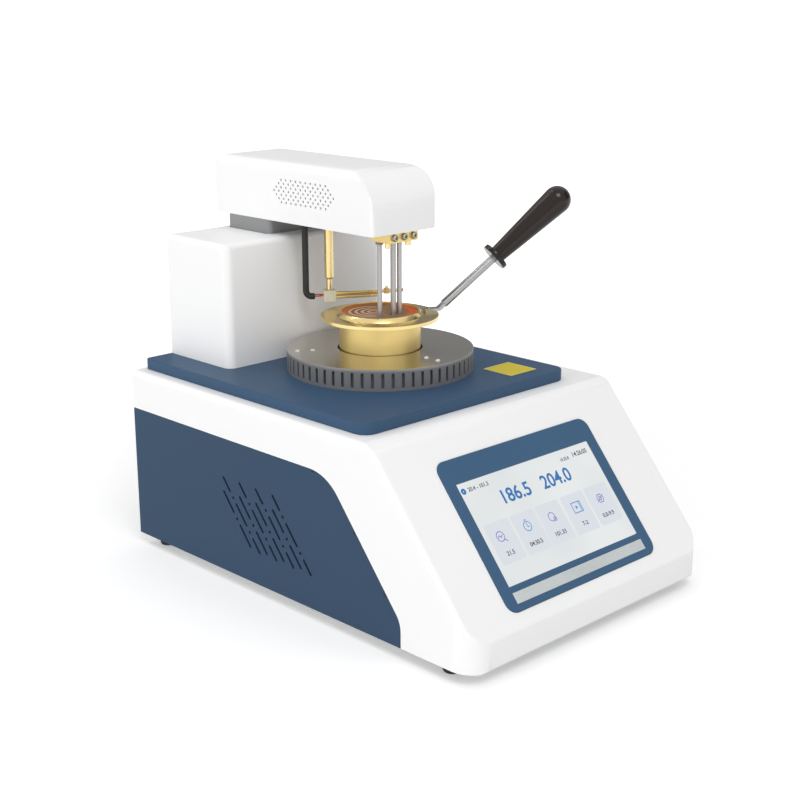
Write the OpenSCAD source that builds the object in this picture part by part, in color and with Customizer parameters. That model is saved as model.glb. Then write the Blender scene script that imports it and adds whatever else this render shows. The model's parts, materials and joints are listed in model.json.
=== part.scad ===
// Open-cup flash point tester: a bench instrument with a sloping screen, a heated cup and a lifting test head.
// X runs to the right as seen from the screen, Y to the back, Z up. The feet stand on Z = 0.

/* [Body] */
// Width of the body
body_w = 276; // [240:1:320]
// Depth of the body from chin to back
body_d = 402; // [380:1:460]
// Height of the housing's flat top above the bench
body_top = 158; // [145:1:185]
// Height of the feet
foot_h = 10; // [6:0.5:16]
// Radius of a foot
foot_r = 7; // [5:0.5:10]
// Distance of a foot's axis from the side of the body
foot_inset = 16; // [13:0.5:30]
// Distance of the front feet behind the chin
foot_front_y = 35; // [28:1:60]
// Distance of the rear feet in front of the back
foot_rear_y = 19; // [14:1:40]
// Height of the chin's top edge above the bench
chin_top = 32.6; // [26:0.2:44]
// Angle of the screen slope to the bench
slope_deg = 50.3; // [42:0.1:58]
// Wall thickness of the white housing
shell_wall = 4; // [3:0.5:5]
// Plan radius of the two chin corners
chin_corner_r = 20; // [12:1:28]
// Radius where the slope turns into the flat top
brow_r = 20; // [10:1:30]
// Radius of the long top edges
top_edge_r = 5; // [4.5:0.5:8]
// Radius of the slope's side edges
slope_edge_r = 4; // [1:0.5:6]
// Radius of the chin's upper and lower edges
chin_edge_r = 3; // [1:0.5:5]
// Sheet thickness of the base pan
pan_t = 2; // [1.5:0.5:3]
// Height of the base pan's turned-up rim
pan_rim_h = 12; // [8:1:18]
// Sheet thickness of the rear panel
rear_t = 2; // [1.5:0.5:3]
// Distance of the rear panel in from the body's back edge
rear_inset = 2; // [1:0.5:6]

/* [Side panels] */
// Sheet thickness of a side panel
panel_t = 1.2; // [1:0.1:2.5]
// Distance of a panel's top edge below the flat top
panel_drop = 33.3; // [26:0.1:50]
// Distance of a panel's front edge behind the chin
panel_front_y = 72.2; // [60:0.2:90]
// Height of a panel's upright front edge
panel_front_h = 19.8; // [12:0.2:30]
// Radius of a panel's upper front corner
panel_brow_r = 40; // [20:1:50]
// Radius of a panel's lower front corner
panel_knee_r = 20; // [8:1:26]
// Seam round a panel
panel_seam = 0.4; // [0.2:0.1:1]
// Width of the ledge that a panel lies on
panel_ledge = 8; // [5:0.5:12]
// Width of a vent slot
vent_w = 2.3; // [1.2:0.1:3]
// Length of a long vent slot
vent_long = 21.4; // [16:0.2:24]
// Length of a short vent slot
vent_short = 14.7; // [10:0.2:16]
// Distance between vent columns
vent_pitch = 20.8; // [16:0.2:26]
// Distance of the rearmost vent's upper end in front of the body's back
vent_rear = 123.4; // [110:0.2:140]
// Distance of the uppermost vents' upper ends below the panel's top edge
vent_drop = 32.5; // [24:0.1:40]
// Columns of vents of each kind
vent_columns = 4; // [2:1:4]
// Depth of a locating notch in a panel's edge
notch_d = 1.8; // [1:0.1:2]
// Length of a locating notch
notch_l = 3; // [2:0.5:6]

/* [Screen] */
// Width of the blue screen frame
bezel_w = 174; // [168:1:200]
// Height of the blue screen frame along the slope
bezel_h = 123; // [119:1:130]
// Distance of the frame's lower edge up the slope from the chin
bezel_s = 12; // [8:0.5:16]
// Corner radius of the frame
bezel_r = 9; // [4:0.5:14]
// Thickness of the frame
bezel_t = 3.6; // [3:0.2:5]
// How far the frame stands proud of the slope
bezel_proud = 1; // [0.4:0.2:2]
// Width of the display window
display_w = 152.6; // [140:0.2:156]
// Height of the display window
display_h = 84.4; // [78:0.2:88]
// Distance of the display window above the frame's lower edge
display_s = 19; // [17:0.5:22]
// Height of the bare silver strip
strip_h = 8.5; // [6:0.5:10]
// Distance of the strip above the frame's lower edge
strip_s = 5.5; // [4:0.5:7]
// Thickness of the strip
strip_t = 0.6; // [0.4:0.1:1]
// Depth of the touch glass below the frame's face
glass_recess = 0.6; // [0.2:0.1:1.5]
// Depth of the display module
module_d = 7; // [4:0.5:10]
// Border of the display module outside the window
module_rim = 6; // [3:0.5:8]

/* [Work axis] */
// Sideways place of the cup, screen and head, from the body's middle
work_x = -3.3; // [-8:0.1:8]
// Distance of the lift's axis in front of the body's back
lift_rear = 41; // [39:0.5:50]

/* [Top plate] */
// Width of the blue top plate
plate_w = 231; // [215:1:240]
// Distance of the plate's front edge behind the brow
plate_front = 7; // [2:0.5:12]
// Height of the blue top plate
plate_h = 9.6; // [7:0.2:12]
// Sideways place of the plate's middle from the body's middle
plate_x = -11; // [-14:0.5:0]
// Distance of the plate's back edge in front of the body's back
plate_rear = 4; // [2:0.5:8]
// Corner radius of the plate
plate_r = 12; // [6:1:18]
// Radius of the plate's back corners
plate_back_r = 4; // [3:0.5:18]
// Sheet thickness of the plate
plate_t = 2.2; // [1.5:0.1:3]
// Side of the blank yellow plate
blank_side = 31; // [24:1:36]
// Thickness of the blank yellow plate
blank_t = 0.4; // [0.3:0.1:1]
// Distance of the blank plate's middle from the top plate's right edge
blank_x = 36.8; // [30:0.2:44]
// Distance in front of the cup's axis up to which the blank plate has room
blank_y = 50.5; // [44:0.5:56]
// Radius of the cable hole under the heater
cable_r = 12; // [6:1:16]

/* [Heater] */
// Radius of the slotted heater ring
ring_r = 78; // [72:1:84]
// Height of the slotted ring
ring_h = 15.7; // [14:0.1:20]
// Wall of the slotted ring
ring_wall = 2.5; // [1.5:0.1:4]
// Slots round the ring
ring_slots = 60; // [24:1:72]
// Width of a ring slot
slot_w = 2.5; // [1.5:0.1:3.5]
// Height of a ring slot
slot_h = 12.4; // [8:0.1:12.6]
// Distance of a slot's foot above the top plate
slot_foot = 2.2; // [1.5:0.1:3]
// Thickness of the polished disc
disc_t = 2; // [1.5:0.1:3]
// Gap between cup and disc
disc_gap = 1.5; // [1:0.1:3]
// Radius on which the inner disc screws lie
disc_screw_r = 56; // [50:0.5:62]
// Radial distance between inner and outer disc screws
disc_screw_step = 13; // [9:0.5:14]
// Radius of a post that carries the disc
post_r = 3.5; // [2.8:0.1:4]
// Gap between the posts and the heating plate
hot_gap = 2; // [1:0.5:6]
// Thickness of the heating plate
hot_t = 6; // [4:0.2:7]
// Thickness of the flat heating element
element_t = 2; // [1:0.2:2.4]
// Radius of the hole in the heating element
element_bore_r = 18; // [10:1:30]

/* [Cup] */
// Inner radius of the test cup
cup_r = 31.75; // [28:0.05:34]
// Wall of the test cup
cup_wall = 2.25; // [1.8:0.05:3]
// Thickness of the cup's floor
cup_floor = 3; // [2.5:0.1:4]
// Full height of the cup
cup_h = 36.6; // [34:0.1:38]
// Height of the rim above the flange
rim_h = 3.7; // [2:0.1:5]
// How far the rim's outer slope runs out beyond the cup's wall
rim_flare = 2.2; // [0.5:0.1:5]
// Radius of the flange
flange_r = 49; // [47:0.5:51]
// Thickness of the flange
flange_t = 3; // [2:0.1:3.5]

/* [Cup handle] */
// Direction of the handle seen from above, from the right-hand side towards the front
handle_deg = 28; // [10:1:40]
// Rise of the handle above the bench plane
handle_rise = 39.8; // [30:0.1:45]
// Distance from the cup's axis at which the rod leaves the flange level
handle_root = 50.8; // [49:0.1:54]
// Length of the steel rod from its root to the guard
rod_len = 63.1; // [55:0.1:80]
// Radius of the steel rod
rod_r = 3.5; // [2.5:0.1:4]
// Length of the flattened neck of the rod
neck_len = 6; // [6:0.5:14]
// Thickness of the flattened neck
neck_t = 3; // [1.8:0.1:3]
// Length of the tongue that lies on the flange
tongue_len = 9; // [6:0.5:12]
// Radius of the guard
guard_r = 12.2; // [9:0.1:14]
// Thickness of the guard
guard_t = 4.4; // [3:0.1:6]
// Length of the grip
grip_len = 80.5; // [60:0.1:100]
// Radius of the grip beside the guard
grip_r = 7.2; // [6:0.1:9]
// Radius of the grip's round end
grip_end_r = 11.8; // [9:0.1:13]

/* [Tower] */
// Width of the tower cover
tower_w = 174.5; // [164:0.5:190]
// Depth of the tower cover
tower_d = 82.7; // [79:0.1:90]
// Height of the tower cover
tower_h = 104.7; // [96:0.1:130]
// Sideways place of the tower's middle from the work axis
tower_x = -8.9; // [-20:0.1:0]
// Distance of the tower's back in front of the body's back
tower_rear = 4; // [4:0.5:8]
// Wall of the tower cover
tower_wall = 3; // [2:0.1:3.2]
// Radius of the tower's upright edges
tower_r = 8; // [4:0.5:14]
// Radius of the tower's upright edges at the back
tower_back_r = 2; // [1.5:0.5:14]
// Radius of the tower's top edges
tower_top_r = 5; // [2:0.5:8]
// Thickness of the tower frame's foot plate
frame_t = 3; // [2:0.2:4]
// Distance of the tower frame's foot plate from the cover's sides
frame_side = 35; // [20:0.5:40]
// Distance of the foot plate's front edge in front of the lift column
frame_front = 8; // [4:0.5:8]
// How far the tower frame's upright back plate stays in from the foot plate's sides
frame_back_side = 10; // [4:0.5:20]
// Thickness of the tower frame's upright back plate
frame_back_t = 2.2; // [1.5:0.1:3]
// Air between the tower frame's upright back plate and the cover's top
frame_top_gap = 6; // [3:0.5:20]
// Height of the bosses that hold the guide rods
boss_h = 6; // [4:0.5:7]

/* [Lift] */
// Travel of the head
lift_travel = 70; // [40:1:74]
// Lead of the screw, in millimetres a turn
screw_lead = 8; // [2:1:12]
// Radius of the lead screw
screw_r = 4; // [3:0.5:5]
// Radius of a guide rod
guide_r = 4; // [3:0.5:5]
// Distance of a guide rod from the lead screw
guide_x = 22; // [17:0.5:24]
// Running gap round screws, shafts and guide rods
run_gap = 0.05; // [0.02:0.01:0.1]
// Width of the lift column
column_w = 72; // [64:0.5:76]
// Depth of the lift column
column_d = 57; // [48:0.5:57]
// Wall of the lift column
column_wall = 2.5; // [2:0.1:3.5]
// Corner radius of the lift column
column_r = 5; // [4:0.5:10]
// Distance of the column's axis behind the cup's axis
column_y = 127; // [125:0.5:128]
// Gap between the column and the tower's top
column_gap = 0.6; // [0.4:0.1:1.5]
// Thickness of the lift carriage
carriage_t = 10; // [8:0.5:14]
// Side of the lift motor
motor_side = 42; // [36:1:44]
// Height of the lift motor
motor_h = 40; // [30:1:60]

/* [Head] */
// Width of the head
head_w = 72.7; // [71:0.1:80]
// Depth of the head
head_d = 202.4; // [198:0.2:210]
// Height of the head
head_h = 50.6; // [46:0.2:60]
// Gap between tower and head when the head is down
neck_gap = 12.3; // [8:0.1:16]
// Distance of the head's front in front of the cup's axis
head_front = 30; // [27:0.5:33]
// Wall of the head shell
head_wall = 2.5; // [2:0.1:2.8]
// Radius of the head's front top edge
head_nose_r = 31; // [20:1:36]
// Radius of the head's rear top edge
head_tail_r = 15; // [6:1:16]
// Radius of the head's long top edges
head_edge_r = 8; // [4:0.5:10]
// Radius of the head's upright edges
head_corner_r = 4; // [3:0.5:6]
// Thickness of the head's bottom plate
head_base_t = 2.4; // [2:0.1:4]
// Distance between grille holes along the head
grille_pitch = 6.2; // [5.4:0.1:7]
// Radius of a grille hole
grille_r = 1.1; // [0.8:0.05:1.4]
// Distance of the grille's middle behind the cup's axis
grille_y = 52.7; // [46:0.1:60]
// Height of the grille's middle above the head's bottom
grille_z = 26; // [24:0.1:28]

/* [Sensor plate] */
// Width of the brass sensor plate
sensor_w = 32; // [28:0.5:38]
// Depth of the brass sensor plate
sensor_d = 24.5; // [22:0.5:27]
// Height of the brass sensor plate
sensor_h = 7.8; // [6.5:0.1:9]
// Distance of the sensor plate's front behind the head's front
sensor_y = 1.5; // [1:0.1:3]
// Chamfer under the sensor plate's back edge
sensor_chamfer = 5; // [3:0.5:6]
// Radius of the temperature probe
probe_r = 2.25; // [1.5:0.05:2.4]
// Radius of a flash electrode
electrode_r = 2; // [1.2:0.1:2.2]
// Height of the probe's tip above the cup's floor
probe_clear = 6.4; // [5.5:0.1:9]
// Depth of the electrodes' tips below the rim
electrode_dip = 10; // [4:0.5:14]
// Radius of a brass stud
stud_r = 2.5; // [1.6:0.1:2.6]
// Length of a brass stud
stud_len = 4.8; // [3:0.1:7]
// Height of the heads of the sensor plate's screws
sensor_screw_h = 2.8; // [1.2:0.1:3.2]
// Radius of the gland round the left electrode
gland_r = 3.2; // [2.9:0.1:3.6]
// Height of the gland
gland_h = 2.4; // [1.5:0.1:4]

/* [Igniter] */
// Distance of the sweep shaft behind the cup's axis
sweep_y = 56.8; // [56.5:0.1:57.2]
// Sideways place of the sweep shaft from the work axis
sweep_x = -5.4; // [-6:0.1:-4]
// Direction of the parked arm seen from above, from the right-hand side towards the front
park_deg = 31; // [26:1:36]
// Gap between the cup's rim and the arm
arm_gap = 1.4; // [1:0.1:2.4]
// Radius of an arm tube
tube_r = 1.5; // [1:0.1:1.7]
// Distance between the two tubes' axes
tube_step = 3.2; // [3:0.1:4]
// Distance of the terminal from the sweep shaft
terminal_x = 50; // [40:0.5:54]
// Reach of the arm from the sweep shaft to the ignition coil
arm_len = 63.4; // [58:0.2:64]
// Radius of the sweep shaft
shaft_r = 3.9; // [3:0.1:4.2]
// Radius of the shaft's neck
shaft_neck_r = 2.5; // [1.8:0.1:3]
// Length of the shaft's neck
shaft_neck_h = 9.5; // [6:0.5:14]
// Side of the ceramic block
block_side = 10.6; // [9:0.1:11]
// Height of the ceramic block
block_h = 10; // [10:0.1:12]
// Radius of the black sleeve
sleeve_r = 2.7; // [2:0.1:2.8]
// Distance of the sleeve from the sweep shaft
sleeve_x = 20.2; // [18:0.1:20.4]
// Bend radius at the sleeve's foot
sleeve_bend = 5; // [3.5:0.1:5.5]
// Radius of a lead
lead_r = 0.8; // [0.5:0.05:1]
// Height of the carrier above the head's bottom plate
carrier_gap = 2; // [1:0.5:3]
// Thickness of the carrier that clamps shaft and sleeve
carrier_t = 5; // [4:0.5:6]
// Height of the motor bracket above the carrier
bracket_gap = 5; // [3:0.5:6]
// Sheet thickness of the motor bracket
bracket_t = 2; // [1.5:0.25:3]
// Width of the motor bracket
bracket_w = 40; // [36:1:50]
// Distance of the bracket's legs from the sweep shaft
bracket_reach = 27; // [25:0.5:30]
// Radius of the sweep motor
sweep_motor_r = 17; // [14:0.5:20]
// Height of the sweep motor
sweep_motor_h = 22; // [16:0.5:26]

/* [Back of the body] */
// Width of the power entry's flange
entry_w = 50; // [48:1:60]
// Height of the power entry's flange
entry_h = 30; // [28:0.5:36]
// Sideways place of the power entry from the body's middle
entry_x = -80; // [-95:1:-60]
// Height of the power entry's middle above the bench
entry_z = 48; // [40:1:80]
// Swing of the rocker switch to each side
rocker_deg = 11; // [5:1:12]
// Side of the fan frame
fan_side = 60; // [50:1:70]
// Depth of the fan frame
fan_d = 15; // [10:1:20]
// Sideways place of the fan from the body's middle
fan_x = 70; // [60:1:90]
// Height of the fan's axis above the bench
fan_z = 88; // [60:1:100]
// Blades of the fan rotor
fan_blades = 7; // [5:1:9]
// Distance of the circuit board from the left side of the body
board_x = 30; // [24:1:60]
// Distance of the circuit board behind the chin
board_y = 60; // [50:1:70]
// Width of the circuit board
board_w = 140; // [100:1:160]
// Depth of the circuit board
board_d = 90; // [60:1:110]
// Thickness of the circuit board
board_t = 1.6; // [1:0.1:2.4]
// Height of the posts under the circuit board
board_post = 6; // [4:0.5:10]
// Distance of a post's axis from the board's edges
board_hole = 6; // [5:0.5:10]
// Side of the largest components
chip_side = 24; // [16:1:26]
// Height of the flattest component
chip_h = 3; // [2:0.5:4]
// Sideways place of the power supply's left side from the body's middle
supply_x = 20; // [10:1:30]
// Distance of the power supply in front of the rear panel
supply_rear = 59; // [40:1:70]
// Width of the power supply
supply_w = 78; // [60:1:90]
// Depth of the power supply
supply_d = 129; // [100:1:140]
// Height of the power supply
supply_h = 34; // [26:1:38]
// Radius of a screw's shank
screw_shank_r = 1.5; // [1.2:0.1:2]
// Radius of a screw's head
screw_head_r = 3.1; // [2.4:0.1:3.2]
// Height of a screw's head
screw_head_h = 1.8; // [1.2:0.1:2.4]
// Length of a screw's shank
screw_shank_h = 5; // [4:0.5:6]

/* [Hidden] */

// Colours
white = [0.93, 0.93, 0.92];
navy = [0.22, 0.31, 0.42];
brass = [0.79, 0.65, 0.36];
steel = [0.72, 0.73, 0.74];
dark = [0.13, 0.13, 0.14];

$fn = 48;
// Overlap by which a cutter runs past the face it cuts
cut = 1;
// Small air gap between still parts that lie side by side
fit_gap = 0.3;

// Depth to which the cup's foot sinks below the disc's top
cup_sink = 5.4;
cup_outer_r = cup_r + cup_wall;
disc_bore_r = cup_outer_r + disc_gap;

// Heights above the bench
z_plate = body_top + plate_h;
z_disc = z_plate + ring_h;
z_rim = z_disc + disc_t - cup_sink + cup_h;
z_flange = z_rim - rim_h;
z_seat = z_rim - cup_h;
z_tower = z_plate + tower_h;
z_head = z_tower + neck_gap;
z_sensor = z_head - sensor_h;
z_arm = z_rim + arm_gap + tube_r + tube_step / 2;
z_shell_bottom = foot_h;
z_column = z_plate + frame_t + boss_h + 1.4;

// Side outline of the slope: the line from the chin's top edge up to the flat top
slope_sin = sin(slope_deg);
slope_cos = cos(slope_deg);
slope_tan = tan(slope_deg);

panel_top_z = body_top - panel_drop;

// Places in plan, tied to the body's back
y_lift = body_d - lift_rear;
cup_y = y_lift - column_y;
y_plate_back = body_d - plate_rear;
y_plate_front = (body_top - chin_top) / slope_tan + brow_r * tan(slope_deg / 2) + plate_front;
y_blank = (y_plate_front + cup_y - blank_y) / 2;
y_tower_back = body_d - tower_rear;
y_tower_front = y_tower_back - tower_d;
y_head_front = cup_y - head_front;
y_sensor = y_head_front + sensor_y;
sweep_axis = [work_x + sweep_x, cup_y + sweep_y];

// The part stands on the bench with its box centred on the origin
grip_end_along = rod_len + guard_t + grip_len - grip_end_r;
grip_end_out = handle_root + grip_end_along * cos(handle_rise);
box_right = max(body_w / 2, work_x + grip_end_out * cos(handle_deg) + grip_end_r);
box_back = max(body_d, y_head_front + head_d);
box_mid = [(box_right - body_w / 2) / 2, box_back / 2];

function arc(c, r, from, to, steps = 8) =
    [for (i = [0 : steps]) let (a = from + (to - from) * i / steps) [c[0] + r * cos(a), c[1] + r * sin(a)]];

// A rectangle from the corner lo to the corner hi with one radius for the front corners and one for the back ones
function round_box(lo, hi, front_r, back_r) = concat(
    arc([lo[0] + front_r, lo[1] + front_r], front_r, 180, 270),
    arc([hi[0] - front_r, lo[1] + front_r], front_r, 270, 360),
    arc([hi[0] - back_r, hi[1] - back_r], back_r, 0, 90),
    arc([lo[0] + back_r, hi[1] - back_r], back_r, 90, 180)
);

// The radius that is left of r once its corner is drawn inwards by e
function inner_r(r, e) = max(r - e, 0.01);

// The body seen from the right, drawn inwards by e, from the height bottom up and back to the depth back
function side_outline(e, bottom, back) = concat(
    [[back, bottom]],
    arc([e + inner_r(chin_edge_r, e), bottom + inner_r(chin_edge_r, e)], inner_r(chin_edge_r, e), 270, 180, 4),
    arc([e + inner_r(chin_edge_r, e), chin_top + (e + inner_r(chin_edge_r, e)) * (slope_sin - 1) / slope_cos],
        inner_r(chin_edge_r, e), 180, 90 + slope_deg, 4),
    arc([(body_top - chin_top) / slope_tan + brow_r * tan(slope_deg / 2), body_top - brow_r],
        brow_r - e, 90 + slope_deg, 90),
    [[back, body_top - e]]
);

// A side panel seen from the right, grown by g, with its back and bottom edges at the given places
function panel_outline(g, bottom, back) = concat(
    [[back, bottom], [panel_front_y - g, bottom]],
    arc([panel_front_y + panel_knee_r,
         z_shell_bottom + panel_front_h - panel_knee_r * (1 - slope_sin) / slope_cos],
        panel_knee_r + g, 180, 90 + slope_deg),
    arc([panel_front_y + (panel_top_z - z_shell_bottom - panel_front_h) / slope_tan
         + panel_brow_r * tan(slope_deg / 2), panel_top_z - panel_brow_r],
        panel_brow_r + g, 90 + slope_deg, 90),
    [[back, panel_top_z + g]]
);

// Draws an outline of depth and height as a slab between two places along X
module along_x(from, to) translate([from, 0, 0]) rotate([90, 0, 90]) linear_extrude(to - from) children();

// Draws an outline of width and height as a slab between two places along Y
module along_y(from, to) translate([0, to, 0]) rotate([90, 0, 0]) linear_extrude(to - from) children();

// Puts its children on the slope, with Y up the slope and Z out of it
module on_slope() translate([work_x, 0, chin_top]) rotate([slope_deg, 0, 0]) children();

// Puts its children at the cup's axis
module at_cup(z) translate([work_x, cup_y, z]) children();

// Puts its children at the lead screw
module at_lift(z) translate([work_x, y_lift, z]) children();

// Puts its children at the sweep shaft, with X along the parked arm
module at_sweep(z) translate([sweep_axis[0], sweep_axis[1], z]) rotate([0, 0, -park_deg]) children();

// Puts its children along the handle's rod, with Z out along the rod
module along_handle(s) at_cup(z_flange + tongue_lift) rotate([0, 0, -handle_deg])
    translate([handle_root, 0, 0]) rotate([0, 90 - handle_rise, 0]) translate([0, 0, s]) children();
// Height of the rod's root above the flange
tongue_lift = 1.2;

// A pan-head screw that stands on Z = 0 with its shank below
module pan_screw(head = screw_head_h) {
    cylinder(r = screw_head_r, h = head);
    translate([0, 0, -screw_shank_h]) cylinder(r = screw_shank_r, h = screw_shank_h + cut / 2);
}

// Body

module body_block(e, bottom, back) {
    half = body_w / 2 - e;
    intersection() {
        along_x(-half, half) polygon(side_outline(e, bottom, back));
        translate([0, 0, bottom - cut]) linear_extrude(body_top + 2 * cut)
            polygon(round_box([-half, e], [half, back], chin_corner_r - e, 0.01));
        along_y(0, back) polygon(edge_outline(half, top_edge_r, e, bottom, body_top - e));
        translate([0, 0, chin_top]) rotate([slope_deg, 0, 0]) along_y(-body_d, body_d)
            polygon(edge_outline(half, slope_edge_r, e, -body_d, -e));
    }
}

// A section of the body with both upper edges rounded, its side at half and its upper face at top
function edge_outline(half, r, e, bottom, top) = concat(
    [[-half, bottom], [half, bottom]],
    arc([half - inner_r(r, e), top - inner_r(r, e)], inner_r(r, e), 0, 90, 4),
    arc([-half + inner_r(r, e), top - inner_r(r, e)], inner_r(r, e), 90, 180, 4)
);

module housing_shell() color(white) difference() {
    body_block(0, z_shell_bottom, body_d);
    body_block(shell_wall, z_shell_bottom - cut, body_d + cut);
    for (side = [-1, 1]) {
        recess = side * (body_w / 2 - panel_t);
        along_x(min(recess, recess + side * 2 * panel_t), max(recess, recess + side * 2 * panel_t))
            polygon(panel_outline(panel_seam, z_shell_bottom - cut, body_d + cut));
        inner = side * (body_w / 2 - shell_wall - cut);
        along_x(min(inner, inner + side * 2 * shell_wall), max(inner, inner + side * 2 * shell_wall)) {
            polygon(panel_outline(-panel_ledge, z_shell_bottom + panel_ledge, body_d - panel_ledge));
            panel_notches(notch_d - panel_seam, panel_seam / 2);
        }
    }
    on_slope() {
        translate([0, 0, bezel_proud - bezel_t]) linear_extrude(bezel_t + cut)
            polygon(bezel_outline(fit_gap));
        translate([-module_w / 2 - fit_gap, bezel_s + display_s - module_rim - fit_gap, -3 * shell_wall])
            cube([module_w + 2 * fit_gap, display_h + 2 * module_rim + 2 * fit_gap, 4 * shell_wall]);
    }
    at_cup(body_top - 2 * shell_wall) cylinder(r = cable_r, h = 3 * shell_wall);
    at_lift(body_top - 2 * shell_wall) cylinder(r = pilot_r + fit_gap, h = 3 * shell_wall);
}
// Radius of the lift motor's pilot boss
pilot_r = 11;
module_w = display_w + 2 * module_rim;

module pan_plan(e, h) linear_extrude(h)
    polygon(round_box([-body_w / 2 + shell_wall + fit_gap + e, shell_wall + fit_gap + e],
                      [body_w / 2 - shell_wall - fit_gap - e, y_rear_panel - fit_gap - e],
                      chin_corner_r - shell_wall - fit_gap - e, 2));
y_rear_panel = body_d - rear_inset - rear_t;

module base_pan() color(steel) difference() {
    translate([0, 0, z_shell_bottom]) pan_plan(0, pan_t + pan_rim_h);
    translate([0, 0, z_shell_bottom + pan_t]) pan_plan(pan_t, pan_rim_h + cut);
    for (place = foot_places)
        translate([place[0], place[1], 0]) cylinder(r = screw_shank_r + fit_gap, h = z_shell_bottom + 2 * pan_t);
    for (row = [0 : 7])
        translate([-pan_vent_l / 2, pan_vent_y + row * pan_vent_pitch, 0]) cube([pan_vent_l, 3, z_shell_bottom + 2 * pan_t]);
}
pan_vent_l = 90;
pan_vent_y = 130;
pan_vent_pitch = 9;
foot_places = [for (x = [-1, 1], y = [foot_front_y, body_d - foot_rear_y]) [x * (body_w / 2 - foot_inset), y]];

module foot(place) color(dark) translate([place[0], place[1], 0]) difference() {
    union() {
        cylinder(r1 = foot_r - 1, r2 = foot_r, h = 1.5);
        translate([0, 0, 1.5]) cylinder(r = foot_r, h = foot_h - 1.5);
    }
    translate([0, 0, foot_h - screw_shank_h - cut]) cylinder(r = screw_shank_r + run_gap, h = screw_shank_h + 2 * cut);
}

module side_panel(side) color(navy) difference() {
    inner = side * (body_w / 2 - panel_t);
    outer = side * body_w / 2;
    along_x(min(inner, outer), max(inner, outer)) difference() {
        polygon(panel_outline(0, z_shell_bottom, body_d));
        vents();
        panel_notches(notch_d, cut);
    }
}
// Heights of the two lower notches above the housing's foot
notch_heights = [38.3, 77];
// Distance of the upper notch behind the chin
notch_top_y = 166;

// The notches in a panel's edge, from the depth inward to the height outward beyond that edge
module panel_notches(inward, outward) {
    for (z = notch_heights) translate([panel_front_y + (z - panel_front_h) / slope_tan, z_shell_bottom + z])
        rotate(slope_deg) translate([-notch_l / 2, -inward]) square([notch_l, inward + outward]);
    translate([notch_top_y - notch_l / 2, panel_top_z - inward]) square([notch_l, inward + outward]);
}

// One vent slot that runs down from its upper end, drawn along the slope's direction
module vent_slot(len) {
    translate([-vent_w / 2, -len + vent_w / 2]) square([vent_w, len - vent_w]);
    for (end = [-vent_w / 2, -len + vent_w / 2]) translate([0, end]) circle(d = vent_w, $fn = 16);
}

// Vent columns run down the slope's direction: long and short slots with a dot between each two
module vent_column(start, lengths) translate(start) rotate(slope_deg - 90)
    for (i = [0 : len(lengths) - 1]) {
        before = [for (j = 0, s = 0; j <= i; s = s + lengths[j] + vent_dot_step, j = j + 1) s];
        translate([0, -before[i]]) vent_slot(lengths[i]);
        if (i < len(lengths) - 1)
            translate([0, -before[i] - lengths[i] - vent_dot_step / 2]) circle(d = vent_w + 0.2, $fn = 16);
    }
vent_dot_step = 10.4;
vent_start = [body_d - vent_rear, panel_top_z - z_shell_bottom - vent_drop];

module vents() for (i = [0 : vent_columns - 1]) {
    vent_column([vent_start[0] - i * vent_pitch, z_shell_bottom + vent_start[1]], [vent_short, vent_long, vent_short]);
    vent_column([vent_start[0] - i * vent_pitch, z_shell_bottom + vent_start[1] - 12], [vent_long, vent_long]);
}

module rear_panel() color(navy) difference() {
    translate([-body_w / 2 + shell_wall + fit_gap, y_rear_panel, z_shell_bottom])
        cube([body_w - 2 * (shell_wall + fit_gap), rear_t, body_top - shell_wall - fit_gap - z_shell_bottom]);
    translate([entry_x - entry_body_w / 2 - fit_gap, y_rear_panel - cut, entry_z - entry_body_h / 2 - fit_gap])
        cube([entry_body_w + 2 * fit_gap, rear_t + 2 * cut, entry_body_h + 2 * fit_gap]);
    for (ring = [1 : 3], k = [0 : 6 * ring - 1])
        translate([fan_x, y_rear_panel - cut, fan_z]) rotate([0, k * 60 / ring, 0]) translate([ring * fan_side / 8, 0, 0])
            rotate([-90, 0, 0]) cylinder(r = 2.6, h = rear_t + 2 * cut, $fn = 16);
    for (place = rear_screw_places)
        translate([place[0], y_rear_panel - cut, place[1]]) rotate([-90, 0, 0])
            cylinder(r = screw_shank_r + fit_gap, h = rear_t + 2 * cut);
}
entry_body_w = entry_w - 6;
entry_body_h = entry_h - 4;
fan_hole = fan_side / 2 - 5;
rear_screw_places = [for (x = [-1, 1], y = [-1, 1]) [fan_x + x * fan_hole, fan_z + y * fan_hole]];

module case_screws() color(steel) {
    for (place = foot_places) translate([place[0], place[1], z_shell_bottom + pan_t]) pan_screw();
    for (place = rear_screw_places)
        translate([place[0], y_rear_panel + rear_t, place[1]]) rotate([-90, 0, 0]) pan_screw();
    for (place = disc_screw_places) at_cup(z_disc + disc_t) translate([place[0], place[1], 0]) pan_screw();
}
disc_screw_places = [for (k = [0 : 2], r = [disc_screw_r, disc_screw_r + disc_screw_step])
    [r * cos(30 + k * 120), r * sin(30 + k * 120)]];

// Screen

function bezel_outline(g) = round_box([-bezel_w / 2 - g, bezel_s - g], [bezel_w / 2 + g, bezel_s + bezel_h + g],
                                      bezel_r + g, bezel_r + g);

module screen_bezel() color(navy) on_slope() translate([0, 0, bezel_proud - bezel_t]) difference() {
    linear_extrude(bezel_t) polygon(bezel_outline(0));
    translate([-display_w / 2, bezel_s + display_s, -cut]) cube([display_w, display_h, bezel_t + 2 * cut]);
    translate([-display_w / 2, bezel_s + strip_s, bezel_t - strip_t]) cube([display_w, strip_h, strip_t + cut]);
}

module screen_glass() color([0.86, 0.9, 0.95]) on_slope()
    translate([-display_w / 2 + fit_gap, bezel_s + display_s + fit_gap, bezel_proud - bezel_t])
        cube([display_w - 2 * fit_gap, display_h - 2 * fit_gap, bezel_t - glass_recess]);

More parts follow.
